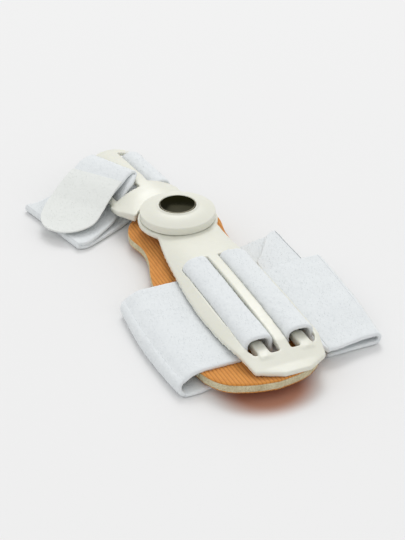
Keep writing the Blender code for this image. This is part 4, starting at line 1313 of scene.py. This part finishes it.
def make_wide_strap():
    stations = smooth_rows(wide_strap_stations(), 3)
    strap, length = band("wide", stations, WIDE_STRAP_WIDTH, PLUSH, 72, step_up, 0.12, 0.10)
    settle(strap, "wide_strap_cloth", white_plush, hinge=False)
    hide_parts("wide_strap")
    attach(strap, "splint")
    return strap, length


wide_strap, wide_length = make_wide_strap()
print("wide strap faces:", len(wide_strap.data.polygons), "length", round(wide_length, 1), "mm")

# %% [markdown]
# ## Toe strap and its tab
#
# The toe strap is sewn round the arm's right bar, runs beneath the arm, folds at the left, comes up
# through the left slot and lies down towards the left again. Its free end carries a hook tab.

# %% Toe strap
TOE_STRAP_WIDTH = 32.0
TOE_STRAP_REACH = 43.5
TOE_FOLD_REACH = 42.3
TOE_FOLD_TILT = 0.3
TOE_FOLD_WIDEN = 1.34
TOE_PLUSH = 1.6
RIDGE_RISE = 0.7
RIDGE_TILT = -2.0

# Columns: across, height, along, skew, width
TOE_SEWN_ROWS = (
    (-0.120, 0.268, 0.00, 0.0, 1.00),
    (0.000, 0.272, 0.00, 0.0, 1.00),
    (0.058, 0.335, 0.00, 0.0, 1.00),
    (0.083, 0.480, 0.00, 0.0, 1.00),
    (0.090, 0.630, 0.00, 0.0, 1.00),
    (0.120, 0.765, 0.00, 0.0, 1.00),
    (0.180, 0.840, 0.00, 0.0, 1.00),
    (0.240, 0.815, 0.00, 0.0, 1.00),
    (0.282, 0.735, 0.00, 0.0, 1.00),
    (0.300, 0.600, 0.00, 0.0, 1.00),
    (0.294, 0.440, 0.00, 0.0, 1.00),
    (0.272, 0.270, 0.00, 0.0, 1.00),
    (0.230, 0.125, 0.00, -2.0, 1.00),
    (0.150, 0.074, -0.01, -5.0, 1.00),
    (0.000, 0.072, -0.05, -10.0, 1.00),
    (-0.240, 0.072, -0.14, -11.0, 1.12),
    (-0.560, 0.072, -0.27, -10.0, 1.30),
    (-0.880, 0.072, -0.42, -10.0, 1.36),
)
TOE_RETURN_ROWS = (
    (-0.880, 0.180, -0.42, -10.0, 1.35),
    (-0.680, 0.215, -0.31, -10.0, 1.28),
    (-0.500, 0.265, -0.20, -10.0, 1.18),
    (-0.390, 0.330, -0.11, -8.0, 1.05),
    (-0.325, 0.440, -0.07, -3.0, 1.07),
    (-0.290, 0.590, -0.06, -1.0, 1.08),
    (-0.255, 0.750, -0.05, -1.0, 1.07),
    (-0.215, 0.900, -0.03, -4.0, 1.05),
    (-0.170, 1.035, -0.01, -8.0, 1.03),
)
TOE_RIDGE_ROWS = (
    (-0.125, 1.00, 0.06, -14.0, 0.95),
    (-0.145, 2.10, 0.07, -18.0, 0.91),
    (-0.195, 2.40, 0.05, -20.0, 0.91),
    (-0.275, 1.60, 0.00, -23.0, 0.91),
)
TOE_FREE_ROWS = (
    (-0.370, 1.060, -0.08, -26.0, 0.89),
    (-0.480, 0.930, -0.17, -27.0, 0.86),
    (-0.600, 0.720, -0.27, -28.0, 0.82),
    (-0.700, 0.540, -0.36, -29.0, 0.76),
)
TAB_ROWS = (
    (-0.820, 0.400, -0.49, -29.0, 1.0),
    (-0.920, 0.330, -0.57, -29.0, 1.0),
    (-1.000, 0.290, -0.63, -29.0, 1.0),
    (-1.060, 0.275, -0.67, -29.0, 1.0),
)


def toe_row(row, base=0.0, unit=ARM_CROWN, tilt=0.0):
    across, height, along, skew, width = row
    return (across * TOE_STRAP_REACH, SLOT_MIDDLE + along * TOE_STRAP_WIDTH, base + height * unit,
            tilt, skew, width, 0.0)


def toe_free_stations():
    ridge_base = ARM_CROWN + GAP + HALF_STRAP
    ridge = [toe_row(row, ridge_base, RIDGE_RISE, RIDGE_TILT) for row in TOE_RIDGE_ROWS]
    free = []
    for index, row in enumerate(TOE_FREE_ROWS):
        free.append(toe_row(row, tilt=RIDGE_TILT * (1 - index / len(TOE_FREE_ROWS))))
    return ridge, free


def toe_strap_stations():
    lower = [toe_row(row) for row in TOE_SEWN_ROWS]
    upper = [toe_row(row) for row in TOE_RETURN_ROWS]
    ridge, free = toe_free_stations()
    fold = []
    start = lower[-1]
    end = upper[0]
    radius = (end[2] - start[2]) / 2
    for step, (x, z) in enumerate(arc(-TOE_FOLD_REACH, start[2] + radius, radius, 270, 90, 6)):
        share = step / 6
        y = start[1] + (end[1] - start[1]) * share
        skew = start[4] + (end[4] - start[4]) * share
        fold.append((x, y, z, share * TOE_FOLD_TILT, skew, TOE_FOLD_WIDEN, 0.0))
    return smooth_rows(lower + fold + upper + ridge + free, 10)


def make_toe_strap():
    strap, length = band("toe", toe_strap_stations(), TOE_STRAP_WIDTH, TOE_PLUSH, 44, even_tilt, 0.08, 0.10)
    settle(strap, "toe_strap_cloth", white_plush, ARM_REST_DEGREES)
    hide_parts("toe_strap")
    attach(strap, "arm")
    return strap, length


toe_strap, toe_length = make_toe_strap()
print("toe strap faces:", len(toe_strap.data.polygons), "length", round(toe_length, 1), "mm")

# %% Tab
TAB_REACH = 46.2
TAB_WIDTH = 28.5
TAB_BLUNT_SHARE = 0.17
TAB_THICKNESS = 0.7
TAB_OVER_STRAP = 0.3


def make_toe_tab(finish):
    _, free = toe_free_stations()
    rest = [toe_row(row) for row in TAB_ROWS]
    raised = TOE_PLUSH / 2 + TAB_OVER_STRAP
    stations = []
    for x, y, z, lift, skew, _, _ in smooth_rows(free + rest, 16):
        radius = TAB_WIDTH / 2
        inward = max(radius - (TAB_REACH + x), 0.0)
        share = max(sqrt(max(1.0 - (inward / radius) ** 2, 0.0)), TAB_BLUNT_SHARE)
        stations.append((x, y, z + raised, lift, skew, share, 0.0))
    tab, length = band("tab", stations, TAB_WIDTH, TAB_THICKNESS, 60, even_tilt, 0.05, 0.03)
    settle(tab, "toe_tab_cloth", finish, ARM_REST_DEGREES)
    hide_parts("toe_tab")
    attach(tab, "arm")
    return tab, length


hook_tape = make_plush("hook_tape", (0.79, 0.81, 0.785, 1.0), (0.75, 0.77, 0.745, 1.0), 0.3, 2200.0)
toe_tab, tab_length = make_toe_tab(hook_tape)
print("tab faces:", len(toe_tab.data.polygons), "length", round(tab_length, 1), "mm")

# %% [markdown]
# ## Pile
#
# A brushed surface is thousands of short fibres. A Geometry Nodes tree makes them: points are
# scattered over the cloth, a three-sided cone stands on each one along the surface, each leans its
# own way, and the instances become one real mesh. The seed is fixed, so every run grows the same pile.

# %% Pile
PILE_FROM_FLOOR = 0.9
SHORTEST_FIBRE = 0.55
LONGEST_FIBRE = 1.1
PLUSH_FIBRES = {"Density": 620000.0, "Length": 0.75 * MM, "Radius": 0.07 * MM, "Lean": 0.75,
                "Finish": white_plush}
HOOKS = {"Density": 900000.0, "Length": 0.3 * MM, "Radius": 0.12 * MM, "Lean": 0.5,
         "Finish": hook_tape}


def make_pile_tree():
    tree = bpy.data.node_groups.new("pile", "GeometryNodeTree")
    for name, kind in (("Cloth", "Geometry"), ("Density", "Float"), ("Length", "Float"), ("Radius", "Float"),
                       ("Lean", "Float"), ("Seed", "Int"), ("Finish", "Material")):
        tree.interface.new_socket(name, in_out="INPUT", socket_type="NodeSocket" + kind)
    tree.interface.new_socket("Pile", in_out="OUTPUT", socket_type="NodeSocketGeometry")
    nodes, links = tree.nodes, tree.links
    given = nodes.new("NodeGroupInput")
    scatter = nodes.new("GeometryNodeDistributePointsOnFaces")
    links.new(given.outputs["Cloth"], scatter.inputs["Mesh"])
    links.new(given.outputs["Density"], scatter.inputs["Density"])
    links.new(given.outputs["Seed"], scatter.inputs["Seed"])
    spot = nodes.new("GeometryNodeInputPosition")
    parts = nodes.new("ShaderNodeSeparateXYZ")
    links.new(spot.outputs["Position"], parts.inputs["Vector"])
    above = nodes.new("ShaderNodeMath")
    above.operation = "GREATER_THAN"
    above.inputs[1].default_value = PILE_FROM_FLOOR * MM
    links.new(parts.outputs["Z"], above.inputs[0])
    links.new(above.outputs["Value"], scatter.inputs["Selection"])
    fibre = nodes.new("GeometryNodeMeshCone")
    fibre.inputs["Vertices"].default_value = 3
    fibre.inputs["Radius Top"].default_value = 0.0
    links.new(given.outputs["Radius"], fibre.inputs["Radius Bottom"])
    links.new(given.outputs["Length"], fibre.inputs["Depth"])
    leaning = nodes.new("FunctionNodeRandomValue")
    leaning.data_type = "FLOAT_VECTOR"
    backward = nodes.new("ShaderNodeMath")
    backward.operation = "MULTIPLY"
    backward.inputs[1].default_value = -1.0
    links.new(given.outputs["Lean"], backward.inputs[0])
    for source, target in ((backward.outputs["Value"], "Min"), (given.outputs["Lean"], "Max")):
        turn = nodes.new("ShaderNodeCombineXYZ")
        links.new(source, turn.inputs["X"])
        links.new(source, turn.inputs["Y"])
        turn.inputs["Z"].default_value = pi if target == "Max" else -pi
        links.new(turn.outputs["Vector"], leaning.inputs[target])
    links.new(given.outputs["Seed"], leaning.inputs["Seed"])
    euler = nodes.new("FunctionNodeEulerToRotation")
    links.new(leaning.outputs["Value"], euler.inputs["Euler"])
    turned_by = nodes.new("FunctionNodeRotateRotation")
    turned_by.rotation_space = "LOCAL"
    links.new(scatter.outputs["Rotation"], turned_by.inputs["Rotation"])
    links.new(euler.outputs["Rotation"], turned_by.inputs["Rotate By"])
    length = nodes.new("FunctionNodeRandomValue")
    length.data_type = "FLOAT"
    sockets = {socket.identifier: socket for socket in length.inputs}
    sockets["Min_001"].default_value = SHORTEST_FIBRE
    sockets["Max_001"].default_value = LONGEST_FIBRE
    plant = nodes.new("GeometryNodeInstanceOnPoints")
    links.new(scatter.outputs["Points"], plant.inputs["Points"])
    links.new(fibre.outputs["Mesh"], plant.inputs["Instance"])
    links.new(turned_by.outputs["Rotation"], plant.inputs["Rotation"])
    scale = next(socket for socket in length.outputs if socket.identifier == "Value_001")
    links.new(scale, plant.inputs["Scale"])
    real = nodes.new("GeometryNodeRealizeInstances")
    links.new(plant.outputs["Instances"], real.inputs["Geometry"])
    dress = nodes.new("GeometryNodeSetMaterial")
    links.new(real.outputs["Geometry"], dress.inputs["Geometry"])
    links.new(given.outputs["Finish"], dress.inputs["Material"])
    result = nodes.new("NodeGroupOutput")
    links.new(dress.outputs["Geometry"], result.inputs["Pile"])
    return tree


def grow(tree, name, cloth, body, sizes):
    """Grow the tree's fibres on a copy of the cloth and keep them as one plain mesh."""
    carrier = cloth.copy()
    bpy.context.scene.collection.objects.link(carrier)
    modifier = carrier.modifiers.new("pile", "NODES")
    modifier.node_group = tree
    for item in tree.interface.items_tree:
        if item.in_out == "INPUT" and item.name in sizes:
            modifier[item.identifier] = sizes[item.name]
    evaluated = carrier.evaluated_get(bpy.context.evaluated_depsgraph_get())
    mesh = bpy.data.meshes.new_from_object(evaluated)
    mesh.name = name
    bpy.data.objects.remove(carrier)
    piece = bpy.data.objects.new(name, mesh)
    bpy.context.scene.collection.objects.link(piece)
    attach(piece, body)
    print(name, "faces", len(mesh.polygons))
    return piece


pile_tree = make_pile_tree()
wide_pile = grow(pile_tree, "wide_strap_pile", wide_strap, "splint",
                 PLUSH_FIBRES | {"Seed": 3})
toe_pile = grow(pile_tree, "toe_strap_pile", toe_strap, "arm",
                PLUSH_FIBRES | {"Seed": 5})
tab_hooks = grow(pile_tree, "toe_tab_hooks", toe_tab, "arm", HOOKS | {"Seed": 7})
